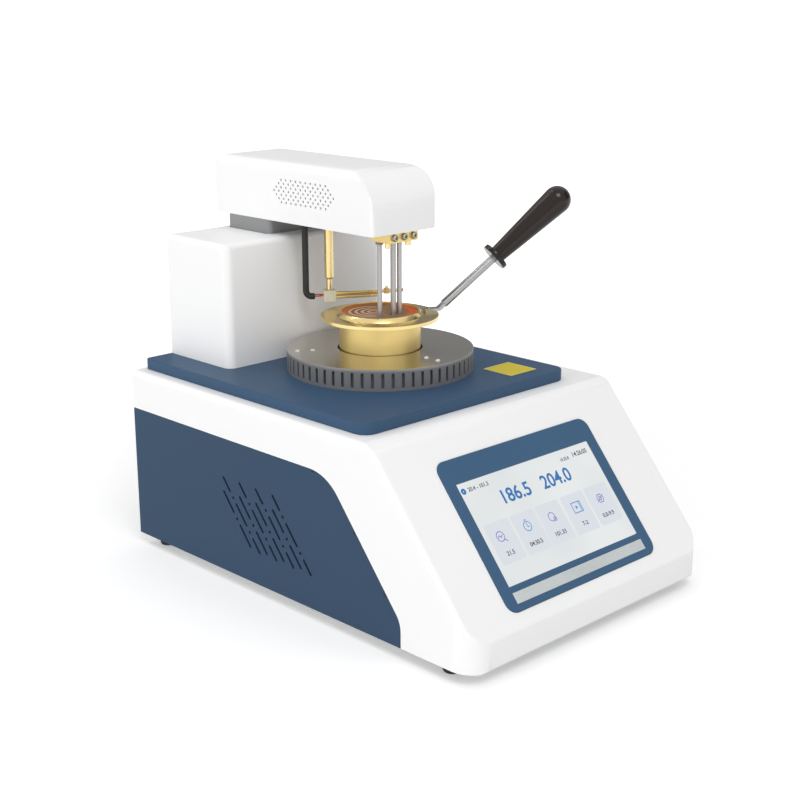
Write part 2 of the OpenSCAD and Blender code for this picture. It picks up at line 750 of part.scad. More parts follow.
module display_module() color(dark) on_slope()
    translate([-module_w / 2, bezel_s + display_s - module_rim, bezel_proud - bezel_t - module_d])
        cube([module_w, display_h + 2 * module_rim, module_d]);

module bezel_strip() color(steel) on_slope()
    translate([-display_w / 2, bezel_s + strip_s, bezel_proud - strip_t]) cube([display_w, strip_h, strip_t]);

// Top plate

function plate_outline(e) = round_box([plate_x - plate_w / 2 + e, y_plate_front + e],
                                      [plate_x + plate_w / 2 - e, y_plate_back - e], plate_r - e, plate_back_r - e);

module top_plate() color(navy) difference() {
    translate([0, 0, body_top]) linear_extrude(plate_h) polygon(plate_outline(0));
    translate([0, 0, body_top - cut]) linear_extrude(plate_h - plate_t + cut) polygon(plate_outline(plate_t));
    at_cup(body_top) cylinder(r = cable_r, h = plate_h + cut);
    at_lift(body_top) cylinder(r = pilot_r, h = plate_h + cut);
}

module blank_plate() color([0.95, 0.86, 0.2])
    translate([plate_x + plate_w / 2 - blank_x - blank_side / 2, y_blank - blank_side / 2, z_plate])
        cube([blank_side, blank_side, blank_t]);

// Heater

module ring_slot() {
    translate([-slot_w / 2, slot_w / 2]) square([slot_w, slot_h - slot_w]);
    for (end = [slot_w / 2, slot_h - slot_w / 2]) translate([0, end]) circle(d = slot_w, $fn = 16);
}

module heater_ring() color([0.62, 0.61, 0.6]) at_cup(z_plate) difference() {
    cylinder(r = ring_r, h = ring_h, $fn = 120);
    translate([0, 0, -cut]) cylinder(r = ring_r - ring_wall, h = ring_h + 2 * cut, $fn = 120);
    for (k = [0 : ring_slots - 1]) rotate([0, 0, k * 360 / ring_slots]) translate([0, 0, slot_foot])
        along_y(-ring_r - cut, -ring_r + ring_wall + cut) ring_slot();
}

module heater_disc() color([0.55, 0.54, 0.52]) at_cup(z_disc) difference() {
    cylinder(r = ring_r, h = disc_t, $fn = 120);
    translate([0, 0, -cut]) cylinder(r = disc_bore_r, h = disc_t + 2 * cut, $fn = 96);
    for (place = disc_screw_places) translate([place[0], place[1], -cut])
        cylinder(r = screw_shank_r + run_gap, h = disc_t + 2 * cut);
}

module heating_plate() color([0.6, 0.6, 0.6]) at_cup(z_seat - hot_t) cylinder(r = hot_r, h = hot_t, $fn = 96);
hot_r = disc_screw_r - post_r - hot_gap;

module heating_element() color([0.7, 0.6, 0.45]) at_cup(z_seat - hot_t - element_t) difference() {
    cylinder(r = hot_r - 2, h = element_t, $fn = 96);
    translate([0, 0, -cut]) cylinder(r = element_bore_r, h = element_t + 2 * cut);
}

module heater_base() color([0.88, 0.86, 0.8]) at_cup(z_plate) difference() {
    union() {
        cylinder(r = ring_r - ring_wall - base_gap, h = z_seat - hot_t - element_t - z_plate, $fn = 96);
        for (place = disc_screw_places) translate([place[0], place[1], 0]) cylinder(r = post_r, h = ring_h);
    }
    translate([0, 0, -cut]) cylinder(r = cable_r, h = ring_h);
    for (place = disc_screw_places) translate([place[0], place[1], ring_h - screw_shank_h])
        cylinder(r = screw_shank_r + run_gap, h = screw_shank_h + cut);
}
// Air between the heater's base and the slotted ring
base_gap = 1;

// Tower

function tower_outline(e) = round_box([work_x + tower_x - tower_w / 2 + e, y_tower_front + e],
                                      [work_x + tower_x + tower_w / 2 - e, y_tower_back - e],
                                      tower_r - e, inner_r(tower_back_r, e));

function column_outline(g) = round_box([-column_w / 2 - g, -column_d / 2 - g], [column_w / 2 + g, column_d / 2 + g],
                                       column_r + g, column_r + g);

// The tower drawn inwards by e, with its top edges rounded
module tower_block(e, bottom) intersection() {
    translate([0, 0, bottom]) linear_extrude(z_tower - e - bottom) polygon(tower_outline(e));
    translate([work_x + tower_x, 0, 0]) along_y(y_tower_front, y_tower_back)
        polygon(edge_outline(tower_w / 2 - e, tower_top_r, e, bottom, z_tower - e));
    translate([0, (y_tower_front + y_tower_back) / 2, 0]) along_x(work_x + tower_x - tower_w / 2, work_x + tower_x + tower_w / 2)
        polygon(edge_outline(tower_d / 2 - e, tower_top_r, e, bottom, z_tower - e));
}

module tower_cover() color(white) difference() {
    tower_block(0, z_plate);
    tower_block(tower_wall, z_plate - cut);
    at_lift(z_tower - 2 * tower_wall) linear_extrude(3 * tower_wall) polygon(column_outline(column_gap));
}

module tower_frame() color(steel) at_lift(z_plate) difference() {
    union() {
        translate([-frame_w / 2, -column_d / 2 - frame_front, 0])
            cube([frame_w, column_d + frame_front + frame_back_gap + frame_back_t, frame_t]);
        translate([-frame_back_w / 2, column_d / 2 + frame_back_gap, 0])
            cube([frame_back_w, frame_back_t, tower_h - tower_wall - frame_top_gap]);
        for (side = [-1, 1]) translate([side * guide_x, 0, 0]) cylinder(r = guide_r + 4, h = frame_t + boss_h);
    }
    for (side = [-1, 1]) translate([side * guide_x, 0, -cut]) cylinder(r = guide_r + run_gap, h = 3 * boss_h);
    translate([0, 0, -cut]) cylinder(r = screw_r + 2, h = frame_t + 2 * cut);
}
frame_w = tower_w - 2 * frame_side;
frame_back_w = frame_w - 2 * frame_back_side;
// Air between the lift column and the frame's back plate
frame_back_gap = 1.2;

module guide_rod(side) color([0.8, 0.81, 0.82]) at_lift(z_plate)
    translate([side * guide_x, 0, 0]) cylinder(r = guide_r, h = z_head - z_plate - guide_top_gap);
guide_top_gap = 8;

module lift_motor() color(dark) at_lift(body_top - shell_wall) difference() {
    union() {
        translate([-motor_side / 2, -motor_side / 2, -motor_h]) cube([motor_side, motor_side, motor_h]);
        cylinder(r = pilot_r, h = 2);
    }
    translate([0, 0, -motor_h + 3]) cylinder(r = screw_r + run_gap, h = motor_h + 2 * cut);
}

// Lift

module lead_screw() color([0.7, 0.7, 0.68]) at_lift(body_top - shell_wall - motor_h + 4)
    cylinder(r = screw_r, h = z_head - guide_top_gap - 6 - (body_top - shell_wall - motor_h + 4));

module lift_column() color([0.5, 0.52, 0.54]) at_lift(z_column) linear_extrude(z_head - z_column) difference() {
    polygon(column_outline(0));
    polygon(column_outline(-column_wall));
}

module lift_carriage() color(steel) at_lift(z_column) difference() {
    linear_extrude(carriage_t) polygon(column_outline(-column_wall));
    for (side = [-1, 1]) translate([side * guide_x, 0, -cut]) cylinder(r = guide_r + run_gap, h = carriage_t + 2 * cut);
    translate([0, 0, -cut]) cylinder(r = nut_r, h = carriage_t + 2 * cut);
}
nut_r = 8;

module lift_nut() color(brass) at_lift(z_column) difference() {
    union() {
        cylinder(r = nut_r, h = carriage_t);
        translate([0, 0, carriage_t]) cylinder(r = nut_r + 3, h = 3);
    }
    translate([0, 0, -cut]) cylinder(r = screw_r + run_gap, h = carriage_t + 3 + 2 * cut);
}

// Head

// The head seen from the right, drawn inwards by e
function head_side(e, bottom) = concat(
    [[y_head_front + e, bottom]],
    arc([y_head_front + head_nose_r, z_head + head_h - head_nose_r], head_nose_r - e, 180, 90),
    arc([y_head_front + head_d - head_tail_r, z_head + head_h - head_tail_r], head_tail_r - e, 90, 0),
    [[y_head_front + head_d - e, bottom]]
);

// The head seen from the front, drawn inwards by e
function head_face(e, bottom) = concat(
    [[work_x - head_w / 2 + e, bottom], [work_x + head_w / 2 - e, bottom]],
    arc([work_x + head_w / 2 - head_edge_r, z_head + head_h - head_edge_r], head_edge_r - e, 0, 90),
    arc([work_x - head_w / 2 + head_edge_r, z_head + head_h - head_edge_r], head_edge_r - e, 90, 180)
);

module head_plan(e, bottom, h) translate([0, 0, bottom]) linear_extrude(h) polygon(round_box(
    [work_x - head_w / 2 + e, y_head_front + e], [work_x + head_w / 2 - e, y_head_front + head_d - e],
    head_corner_r - e, head_corner_r - e));

module head_block(e, bottom) intersection() {
    along_x(work_x - head_w / 2, work_x + head_w / 2) polygon(head_side(e, bottom));
    along_y(y_head_front, y_head_front + head_d) polygon(head_face(e, bottom));
    head_plan(e, bottom, head_h + cut);
}

// Rows of grille holes that make a long hexagon: the middle row has six holes more than its outer rows and two are three apart
module grille() for (row = [-3 : 3]) {
    count = grille_middle - abs(row);
    for (k = [0 : count - 1])
        translate([work_x, cup_y + grille_y + (k - (count - 1) / 2) * grille_pitch,
                   z_head + grille_z + row * grille_pitch / 2])
            rotate([0, 90, 0]) cylinder(r = grille_r, h = head_w + 2 * cut, center = true, $fn = 16);
}
grille_middle = 13;

module head_shell() color(white) difference() {
    head_block(0, z_head);
    head_block(head_wall, z_head - cut);
    grille();
}

module head_base() color([0.55, 0.56, 0.57]) difference() {
    head_plan(head_wall, z_head, head_base_t);
    at_sweep(z_head - cut) cylinder(r = shaft_r + run_gap, h = head_base_t + 2 * cut);
    at_sweep(z_head - cut) rotate([0, 0, sleeve_slot_from]) rotate_extrude(angle = sleeve_slot_sweep, $fn = 96)
        translate([sleeve_x - sleeve_r - sleeve_gap, 0]) square([2 * (sleeve_r + sleeve_gap), head_base_t + 2 * cut]);
}
// Air round the sleeve in its curved slot
sleeve_gap = 1;
sweep_range = 180 - 2 * park_deg;
sleeve_slot_margin = 12;
sleeve_slot_from = 180 - sweep_range - sleeve_slot_margin;
sleeve_slot_sweep = sweep_range + 2 * sleeve_slot_margin;

// Sensor plate

module sensor_plate() color(brass) difference() {
    along_x(work_x - sensor_w / 2, work_x + sensor_w / 2) polygon([
        [y_sensor, z_head], [y_sensor, z_sensor], [y_sensor + sensor_d - sensor_chamfer, z_sensor],
        [y_sensor + sensor_d, z_sensor + sensor_chamfer], [y_sensor + sensor_d, z_head]
    ]);
    for (x = sensor_screw_x) translate([work_x + x, y_sensor - cut, z_sensor_screws]) rotate([-90, 0, 0])
        cylinder(r = screw_shank_r + run_gap, h = screw_shank_h + 2 * cut);
    at_cup(z_sensor - cut) {
        translate(probe_place) cylinder(r = probe_r + run_gap, h = sensor_h + 2 * cut);
        translate(electrode_left_place) cylinder(r = electrode_r + run_gap, h = sensor_h + 2 * cut);
        translate(electrode_right_place) cylinder(r = electrode_r + run_gap, h = sensor_h + 2 * cut);
    }
}
sensor_screw_x = [-10.6, 0, 10.6];
// The screws' heads stay just under the head's bottom
z_sensor_screws = z_head - sensor_h / 2 + 0.3;
probe_place = [0.2, -15.8, 0];
electrode_left_place = [-12.6, -13.3, 0];
electrode_right_place = [5.9, -17.2, 0];
stud_x = 11.5;
stud_y = 6.7;

module sensor_plate_screws() color(steel) for (x = sensor_screw_x)
    translate([work_x + x, y_sensor, z_sensor_screws]) rotate([90, 0, 0]) pan_screw(sensor_screw_h);

module sensor_studs() color(brass) for (side = [-1, 1])
    translate([work_x + side * stud_x, y_sensor + stud_y, z_sensor - stud_len]) cylinder(r = stud_r, h = stud_len, $fn = 6);

// A steel rod that hangs from the head's bottom plate down to the height tip
module hanging_rod(place, r, tip) color(steel) at_cup(tip) translate(place) {
    translate([0, 0, r / 2]) cylinder(r = r, h = z_head - tip - r / 2);
    cylinder(r1 = r / 2, r2 = r, h = r / 2);
}

module temperature_probe() hanging_rod(probe_place, probe_r, z_seat + cup_floor + probe_clear);
module electrode_left() hanging_rod(electrode_left_place, electrode_r, z_rim - electrode_dip);
module electrode_right() hanging_rod(electrode_right_place, electrode_r, z_rim - electrode_dip);

module probe_gland() color([0.4, 0.41, 0.43]) at_cup(z_sensor - gland_h) translate(electrode_left_place) difference() {
    cylinder(r = gland_r, h = gland_h);
    translate([0, 0, -cut]) cylinder(r = electrode_r + run_gap, h = gland_h + 2 * cut);
}

// Sweep drive in the head

z_head_floor = z_head + head_base_t;
z_carrier = z_head_floor + carrier_gap;
z_bracket = z_carrier + carrier_t + bracket_gap;

module sweep_bracket() color(steel) translate([sweep_axis[0], sweep_axis[1], z_head_floor]) difference() {
    translate([-bracket_w / 2, -bracket_reach - bracket_t, 0])
        cube([bracket_w, 2 * (bracket_reach + bracket_t), z_bracket + bracket_t - z_head_floor]);
    translate([-bracket_w / 2 - cut, -bracket_reach, -cut])
        cube([bracket_w + 2 * cut, 2 * bracket_reach, z_bracket - z_head_floor + cut]);
    cylinder(r = shaft_r + 2, h = z_bracket);
}

module sweep_motor() color(dark) at_sweep(z_bracket + bracket_t) difference() {
    cylinder(r = sweep_motor_r, h = sweep_motor_h);
    translate([0, 0, -cut]) cylinder(r = shaft_r + run_gap, h = motor_socket + cut);
}
motor_socket = 8;

module sweep_carrier() color([0.3, 0.3, 0.31]) at_sweep(z_carrier) difference() {
    union() {
        cylinder(r = shaft_r + 3, h = carrier_t);
        translate([-sleeve_x, -sleeve_r - 1, 0]) cube([sleeve_x, 2 * sleeve_r + 2, carrier_t]);
        translate([-sleeve_x, 0, 0]) cylinder(r = sleeve_r + 1.6, h = carrier_t);
    }
    translate([0, 0, -cut]) cylinder(r = shaft_r + run_gap, h = carrier_t + 2 * cut);
    translate([-sleeve_x, 0, -cut]) cylinder(r = sleeve_r + run_gap, h = carrier_t + 2 * cut);
}

module sweep_shaft() color(brass) at_sweep(z_block_top) {
    cylinder(r = shaft_neck_r, h = shaft_neck_h);
    translate([0, 0, shaft_neck_h]) cylinder(r1 = shaft_neck_r, r2 = shaft_r, h = shaft_r - shaft_neck_r);
    translate([0, 0, shaft_neck_h + shaft_r - shaft_neck_r])
        cylinder(r = shaft_r, h = z_bracket + bracket_t + motor_socket - 1 - z_block_top - shaft_neck_h - shaft_r + shaft_neck_r);
}
z_block_top = z_arm + block_h / 2;

// Igniter arm

module igniter_block() color([0.9, 0.88, 0.8]) at_sweep(z_arm - block_h / 2)
    translate([-block_side / 2, -block_side / 2, 0]) cube([block_side, block_side, block_h]);

module arm_tube(z, reach) color(brass) at_sweep(z) translate([block_side / 2, 0, 0]) rotate([0, 90, 0]) difference() {
    cylinder(r = tube_r, h = reach - block_side / 2);
    translate([0, 0, reach - block_side / 2 - 4]) cylinder(r = tube_r - 0.6, h = 4 + cut);
}
module igniter_tube_upper() arm_tube(z_arm + tube_step / 2, arm_len - coil_r - 0.4);
module igniter_tube_lower() arm_tube(z_arm - tube_step / 2, terminal_x - terminal_l / 2 - tube_setback);
coil_r = 0.8;
coil_h = 3.4;
terminal_l = 4.4;
// How far the lower tube ends before the terminal
tube_setback = 5;
// Brass under and over the tube in the terminal
terminal_wall = 0.7;

module igniter_terminal() color(brass) at_sweep(z_arm + tube_step / 2 - tube_r - terminal_wall) difference() {
    union() {
        translate([terminal_x - terminal_l / 2, -terminal_l / 2, 0]) cube([terminal_l, terminal_l, 2 * (tube_r + terminal_wall)]);
        translate([terminal_x, 0, 2 * (tube_r + terminal_wall)]) cylinder(r = 1.3, h = 1.6);
    }
    translate([terminal_x - terminal_l, 0, tube_r + terminal_wall]) rotate([0, 90, 0])
        cylinder(r = tube_r, h = 2 * terminal_l);
}

module igniter_coil() color([0.8, 0.2, 0.15]) at_sweep(z_arm + tube_step / 2 - coil_h / 2) translate([arm_len, 0, 0]) {
    cylinder(r = coil_r, h = coil_h);
    translate([-coil_r - 0.4, -0.3, coil_h / 2 - 0.3]) cube([coil_r + 0.4, 0.6, 0.6]);
}

module igniter_sleeve() color(dark) at_sweep(z_arm) {
    translate([-sleeve_x, 0, sleeve_bend]) cylinder(r = sleeve_r, h = z_carrier + carrier_t + 2 - z_arm - sleeve_bend);
    translate([-sleeve_x + sleeve_bend, 0, sleeve_bend]) rotate([90, 0, 0]) rotate([0, 0, 180])
        rotate_extrude(angle = 90) translate([sleeve_bend, 0]) circle(r = sleeve_r);
    translate([-sleeve_x + sleeve_bend, 0, 0]) rotate([0, 90, 0]) cylinder(r = sleeve_r, h = sleeve_foot);
}
// Straight end of the sleeve towards the block
sleeve_foot = 2.4;

module igniter_leads() color([0.65, 0.25, 0.2]) at_sweep(z_arm) for (side = [-1, 1])
    translate([-sleeve_x + sleeve_bend + sleeve_foot, side * 1.2, side * 1]) rotate([0, 90, 0])
        cylinder(r = lead_r, h = sleeve_x - sleeve_bend - sleeve_foot - block_side / 2);

// Test cup

module test_cup() color(brass) at_cup(z_seat) rotate_extrude($fn = 96) polygon([
    [0, 0], [cup_outer_r - 1.5, 0], [cup_outer_r, 1.5], [cup_outer_r, cup_h - rim_h - flange_t],
    [flange_r, cup_h - rim_h - flange_t], [flange_r, cup_h - rim_h], [cup_outer_r + rim_flare, cup_h - rim_h],
    [cup_outer_r + rim_flare - rim_round / 2, cup_h - rim_h + rim_round], [cup_r + rim_land + rim_round, cup_h - rim_round / 2],
    [cup_r + rim_land, cup_h], [cup_r + rim_bevel, cup_h], [cup_r, cup_h - rim_bevel],
    [cup_r, cup_floor + 2], [cup_r - 2, cup_floor], [0, cup_floor]
]);
// Width of the rim's flat top and its small edges
rim_land = 1;
rim_bevel = 0.3;
rim_round = 0.6;

module handle_rod() color(steel) {
    at_cup(z_flange) rotate([0, 0, -handle_deg]) translate([handle_root - tongue_len, 0, 0]) {
        translate([0, -tongue_w / 2, 0]) cube([tongue_len, tongue_w, 2 * tongue_lift]);
        cylinder(r = tongue_w / 2, h = 2 * tongue_lift);
        translate([0, 0, 2 * tongue_lift]) cylinder(r1 = rivet_r, r2 = rivet_r - rivet_h, h = rivet_h);
    }
    along_handle(0) translate([-neck_t / 2, -neck_w / 2, 0]) cube([neck_t, neck_w, neck_len]);
    along_handle(neck_len - shoulder_l) cylinder(r1 = neck_t / 2, r2 = rod_r - 0.5, h = shoulder_l);
    along_handle(neck_len) cylinder(r1 = rod_r - 0.5, r2 = rod_r, h = 1);
    along_handle(neck_len + 1) cylinder(r = rod_r, h = rod_len - neck_len - 1);
}
tongue_w = 7.6;
neck_w = 6.5;
// Length over which the flat neck swells to the round rod
shoulder_l = 3.5;
rivet_r = 2.3;
rivet_h = 0.9;

module handle_guard() color([0.15, 0.11, 0.1]) along_handle(rod_len) cylinder(r = guard_r, h = guard_t);

module handle_grip() color([0.17, 0.12, 0.11]) along_handle(rod_len + guard_t) rotate_extrude() polygon(concat(
    [[0, 0], [grip_r, 0]],
    arc([0, grip_len - grip_end_r], grip_end_r, grip_lean, 90, 10)
));
// Angle at which the grip's straight flank meets its round end
grip_lean = -asin((grip_end_r - grip_r) / (grip_len - grip_end_r));

// Back of the body

module power_entry() color(dark) translate([entry_x, y_rear_panel, entry_z]) difference() {
    union() {
        translate([-entry_w / 2, rear_t, -entry_h / 2]) cube([entry_w, 1.8, entry_h]);
        translate([-entry_body_w / 2, rear_t - entry_deep, -entry_body_h / 2]) cube([entry_body_w, entry_deep, entry_body_h]);
    }
    translate([socket_x - socket_w / 2, rear_t - socket_deep, -socket_h / 2]) difference() {
        cube([socket_w, socket_deep + 3, socket_h]);
        for (blade = [[4, 3], [socket_w - 6, 3], [socket_w / 2 - 1, 6]])
            translate([blade[0], -cut, blade[1]]) cube([2, socket_deep - 2, 4]);
    }
    difference() {
        translate([rocker_x - rocker_w / 2 - rocker_gap, rear_t - rocker_deep, -rocker_h / 2 - rocker_gap])
            cube([rocker_w + 2 * rocker_gap, rocker_deep + 3, rocker_h + 2 * rocker_gap]);
        translate([rocker_x, rear_t - rocker_sink, 0]) rotate([0, 90, 0])
            cylinder(r = rocker_pin_r, h = rocker_w + 2, center = true);
    }
}
entry_deep = 26;
socket_x = -8;
socket_w = 24;
socket_h = 17;
socket_deep = 17;
rocker_x = 15;
rocker_w = 10;
rocker_h = 18;
rocker_deep = 11;
rocker_gap = 0.5;
// Depth of the rocker's pin behind the rear panel's outer face
rocker_sink = 1;
rocker_pin_r = 1;

// The rocker lies in its off position
module power_rocker() color([0.12, 0.12, 0.13])
    translate([entry_x + rocker_x, y_rear_panel + rear_t - rocker_sink, entry_z]) rotate([rocker_deg, 0, 0]) difference() {
        along_x(-rocker_w / 2, rocker_w / 2) polygon([
            [-3, -3], [2.2, -rocker_h / 2 + 1], [4.2, -rocker_h / 2 + 1], [3.4, 0],
            [4.2, rocker_h / 2 - 1], [2.2, rocker_h / 2 - 1], [-3, 3]
        ]);
        rotate([0, 90, 0]) cylinder(r = rocker_pin_r + run_gap, h = rocker_w + 2 * cut, center = true);
    }

module fan_frame() color(dark) translate([fan_x, y_rear_panel - fan_d, fan_z]) rotate([-90, 0, 0]) {
    difference() {
        translate([-fan_side / 2, -fan_side / 2, 0]) cube([fan_side, fan_side, fan_d]);
        translate([0, 0, -cut]) cylinder(r = fan_bore_r, h = fan_d + 2 * cut, $fn = 64);
        for (x = [-1, 1], y = [-1, 1]) translate([x * fan_hole, y * fan_hole, -cut])
            cylinder(r = screw_shank_r + run_gap, h = fan_d + 2 * cut);
    }
    for (k = [0 : 1]) rotate([0, 0, k * 90]) translate([-fan_bore_r - cut, -2, 0])
        cube([2 * (fan_bore_r + cut), 4, fan_arm_t]);
    cylinder(r = fan_hub_r, h = fan_arm_t);
    cylinder(r = fan_pin_r, h = fan_arm_t + fan_pin_l);
}
fan_bore_r = fan_side / 2 - 2;
fan_hub_r = 11;
// Thickness of the fan frame's arms
fan_arm_t = 2;
fan_pin_r = 1.5;
fan_pin_l = 6;
blade_t = 1.2;

module fan_rotor() color([0.2, 0.2, 0.21]) translate([fan_x, y_rear_panel - fan_d + fan_arm_t + 1, fan_z]) {
    rotate([-90, 0, 0]) difference() {
        cylinder(r = fan_hub_r, h = fan_d - 4);
        translate([0, 0, -cut]) cylinder(r = fan_pin_r + run_gap, h = fan_pin_l + cut);
    }
    intersection() {
        for (k = [0 : fan_blades - 1]) rotate([0, k * 360 / fan_blades, 0])
            translate([fan_hub_r - 1, (fan_d - 4) / 2, 0]) rotate([35, 0, 0])
                translate([0, -(fan_d - 4), -blade_t / 2]) cube([fan_bore_r - fan_hub_r, 2 * (fan_d - 4), blade_t]);
        translate([0, 0.5, 0]) rotate([-90, 0, 0]) cylinder(r = fan_bore_r - 1, h = fan_d - 5);
    }
}

module controller_board() color([0.1, 0.35, 0.2])
    translate([-body_w / 2 + board_x, board_y, z_shell_bottom + pan_t]) {
        for (x = [board_hole, board_w - board_hole], y = [board_hole, board_d - board_hole])
            translate([x, y, 0]) cylinder(r = post_r, h = board_post);
        translate([0, 0, board_post]) {
            cube([board_w, board_d, board_t]);
            translate([0, 0, board_t]) {
                translate([board_w * 0.15, board_d * 0.2, 0]) cube([chip_side, chip_side, chip_h]);
                translate([board_w * 0.45, board_d * 0.15, 0]) cube([chip_side, chip_side / 2, 2 * chip_h]);
                translate([board_w * 0.75, board_d * 0.65, 0]) cube([chip_side, chip_side, 4 * chip_h]);
                for (k = [0 : 3]) translate([board_w * 0.5 + k * 2.5 * post_r, board_d * 0.75, 0])
                    cylinder(r = post_r, h = 3 * chip_h);
            }
        }
    }

module power_supply() color([0.7, 0.7, 0.7])
    translate([supply_x, y_rear_panel - supply_rear - supply_d, z_shell_bottom + pan_t]) cube([supply_w, supply_d, supply_h]);

module placed() translate([-box_mid[0], -box_mid[1], 0]) children();

placed() base_pan();
placed() housing_shell();
placed() side_panel(-1);  // side_panel_left
placed() side_panel(1);  // side_panel_right
placed() rear_panel();
placed() foot(foot_places[0]);  // foot_front_left
placed() foot(foot_places[2]);  // foot_front_right
placed() foot(foot_places[1]);  // foot_rear_left
placed() foot(foot_places[3]);  // foot_rear_right
placed() case_screws();
placed() top_plate();
placed() screen_bezel();
placed() screen_glass();
placed() display_module();
placed() bezel_strip();
placed() blank_plate();
placed() heater_ring();
placed() heater_disc();
placed() heating_plate();
placed() heating_element();
placed() heater_base();
placed() tower_cover();
placed() tower_frame();
placed() guide_rod(-1);  // guide_rod_left
placed() guide_rod(1);  // guide_rod_right
placed() lift_motor();
placed() lead_screw();
placed() lift_column();
placed() lift_carriage();
placed() lift_nut();
placed() head_shell();
placed() head_base();
placed() sensor_plate();
placed() sensor_plate_screws();
placed() sensor_studs();
placed() temperature_probe();
placed() probe_gland();
placed() electrode_left();
placed() electrode_right();
placed() sweep_motor();
placed() sweep_bracket();
placed() sweep_shaft();
placed() sweep_carrier();
placed() igniter_block();
placed() igniter_tube_upper();
placed() igniter_tube_lower();
placed() igniter_terminal();
placed() igniter_coil();
placed() igniter_sleeve();
placed() igniter_leads();
placed() test_cup();
placed() handle_rod();
placed() handle_guard();
placed() handle_grip();
placed() power_entry();
placed() power_rocker();
placed() fan_frame();
placed() fan_rotor();
placed() controller_board();
placed() power_supply();
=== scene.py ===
import json
import math

import bmesh
import bpy
from mathutils import Matrix, Vector


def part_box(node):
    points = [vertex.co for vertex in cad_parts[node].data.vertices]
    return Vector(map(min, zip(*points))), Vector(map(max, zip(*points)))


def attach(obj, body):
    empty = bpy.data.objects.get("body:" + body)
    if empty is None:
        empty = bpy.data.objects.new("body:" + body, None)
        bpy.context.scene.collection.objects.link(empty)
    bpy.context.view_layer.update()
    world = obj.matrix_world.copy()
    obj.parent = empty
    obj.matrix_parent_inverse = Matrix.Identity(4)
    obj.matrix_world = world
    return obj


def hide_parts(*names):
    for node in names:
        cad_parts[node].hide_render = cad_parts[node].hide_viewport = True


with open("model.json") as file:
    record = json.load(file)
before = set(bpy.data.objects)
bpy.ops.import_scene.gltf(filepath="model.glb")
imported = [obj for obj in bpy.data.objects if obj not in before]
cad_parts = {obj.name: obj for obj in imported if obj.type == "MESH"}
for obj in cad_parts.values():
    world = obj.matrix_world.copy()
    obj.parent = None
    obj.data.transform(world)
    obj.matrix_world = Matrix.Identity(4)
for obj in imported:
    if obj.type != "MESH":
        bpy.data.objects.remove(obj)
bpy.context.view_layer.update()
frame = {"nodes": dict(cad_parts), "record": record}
cadNodes = frame["nodes"]
millimetre = 0.001
cupFoot = sum(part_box("heater_disc"), Vector()) / 2
cupFoot.z = 0
print("frame loaded")


# Camera at the photograph's place

cameraSettings = {
    "fromCup": (-0.805542, -0.851389, 0.475250),     # from the foot of the cup's axis
    "turn": (73.96646, 0.12605, -44.25857),
    "lens": 64.927,
    "sensor": 36.0,
    "clipEnd": 60,
}


def makeCamera():
    data = bpy.data.cameras.new("benchCamera")
    data.lens = cameraSettings["lens"]
    data.sensor_width = cameraSettings["sensor"]
    data.sensor_fit = "HORIZONTAL"
    data.clip_end = cameraSettings["clipEnd"]
    camera = bpy.data.objects.new("benchCamera", data)
    camera.location = cupFoot + Vector(cameraSettings["fromCup"])
    camera.rotation_euler = [math.radians(a) for a in cameraSettings["turn"]]
    bpy.context.scene.collection.objects.link(camera)
    bpy.context.scene.camera = camera


makeCamera()
bpy.context.scene.view_settings.view_transform = "Standard"


# Materials

def addNode(tree, kind, inputs=None, **settings):
    node = tree.nodes.new(kind)
    for key, value in settings.items():
        setattr(node, key, value)
    for key, value in (inputs or {}).items():
        if isinstance(value, bpy.types.NodeSocket):
            tree.links.new(value, node.inputs[key])
        else:
            node.inputs[key].default_value = value
    return node


def makeGroup(name, sockets, outputs):
    group = bpy.data.node_groups.new(name, "ShaderNodeTree")
    for label, kind, value in sockets:
        socket = group.interface.new_socket(label, in_out="INPUT", socket_type=kind)
        socket.default_value = value
    for label in outputs:
        group.interface.new_socket(label, in_out="OUTPUT", socket_type="NodeSocketFloat")
    return group, group.nodes.new("NodeGroupInput").outputs, group.nodes.new("NodeGroupOutput").inputs


def makeCoatGroup():
    # sprayed or moulded skin: slow tone changes and a fine orange peel
    group, given, result = makeGroup("coatSkin", [
        ("Mottle Scale", "NodeSocketFloat", 9.0), ("Peel Scale", "NodeSocketFloat", 900.0)], ["Tone", "Height"])
    place = addNode(group, "ShaderNodeTexCoord").outputs["Object"]
    slow = addNode(group, "ShaderNodeTexNoise", {"Vector": place, "Scale": given["Mottle Scale"], "Detail": 5.0,
                                                  "Roughness": 0.6})
    fine = addNode(group, "ShaderNodeTexNoise", {"Vector": place, "Scale": given["Peel Scale"], "Detail": 2.0})
    group.links.new(slow.outputs["Fac"], result["Tone"])
    group.links.new(fine.outputs["Fac"], result["Height"])
    return group


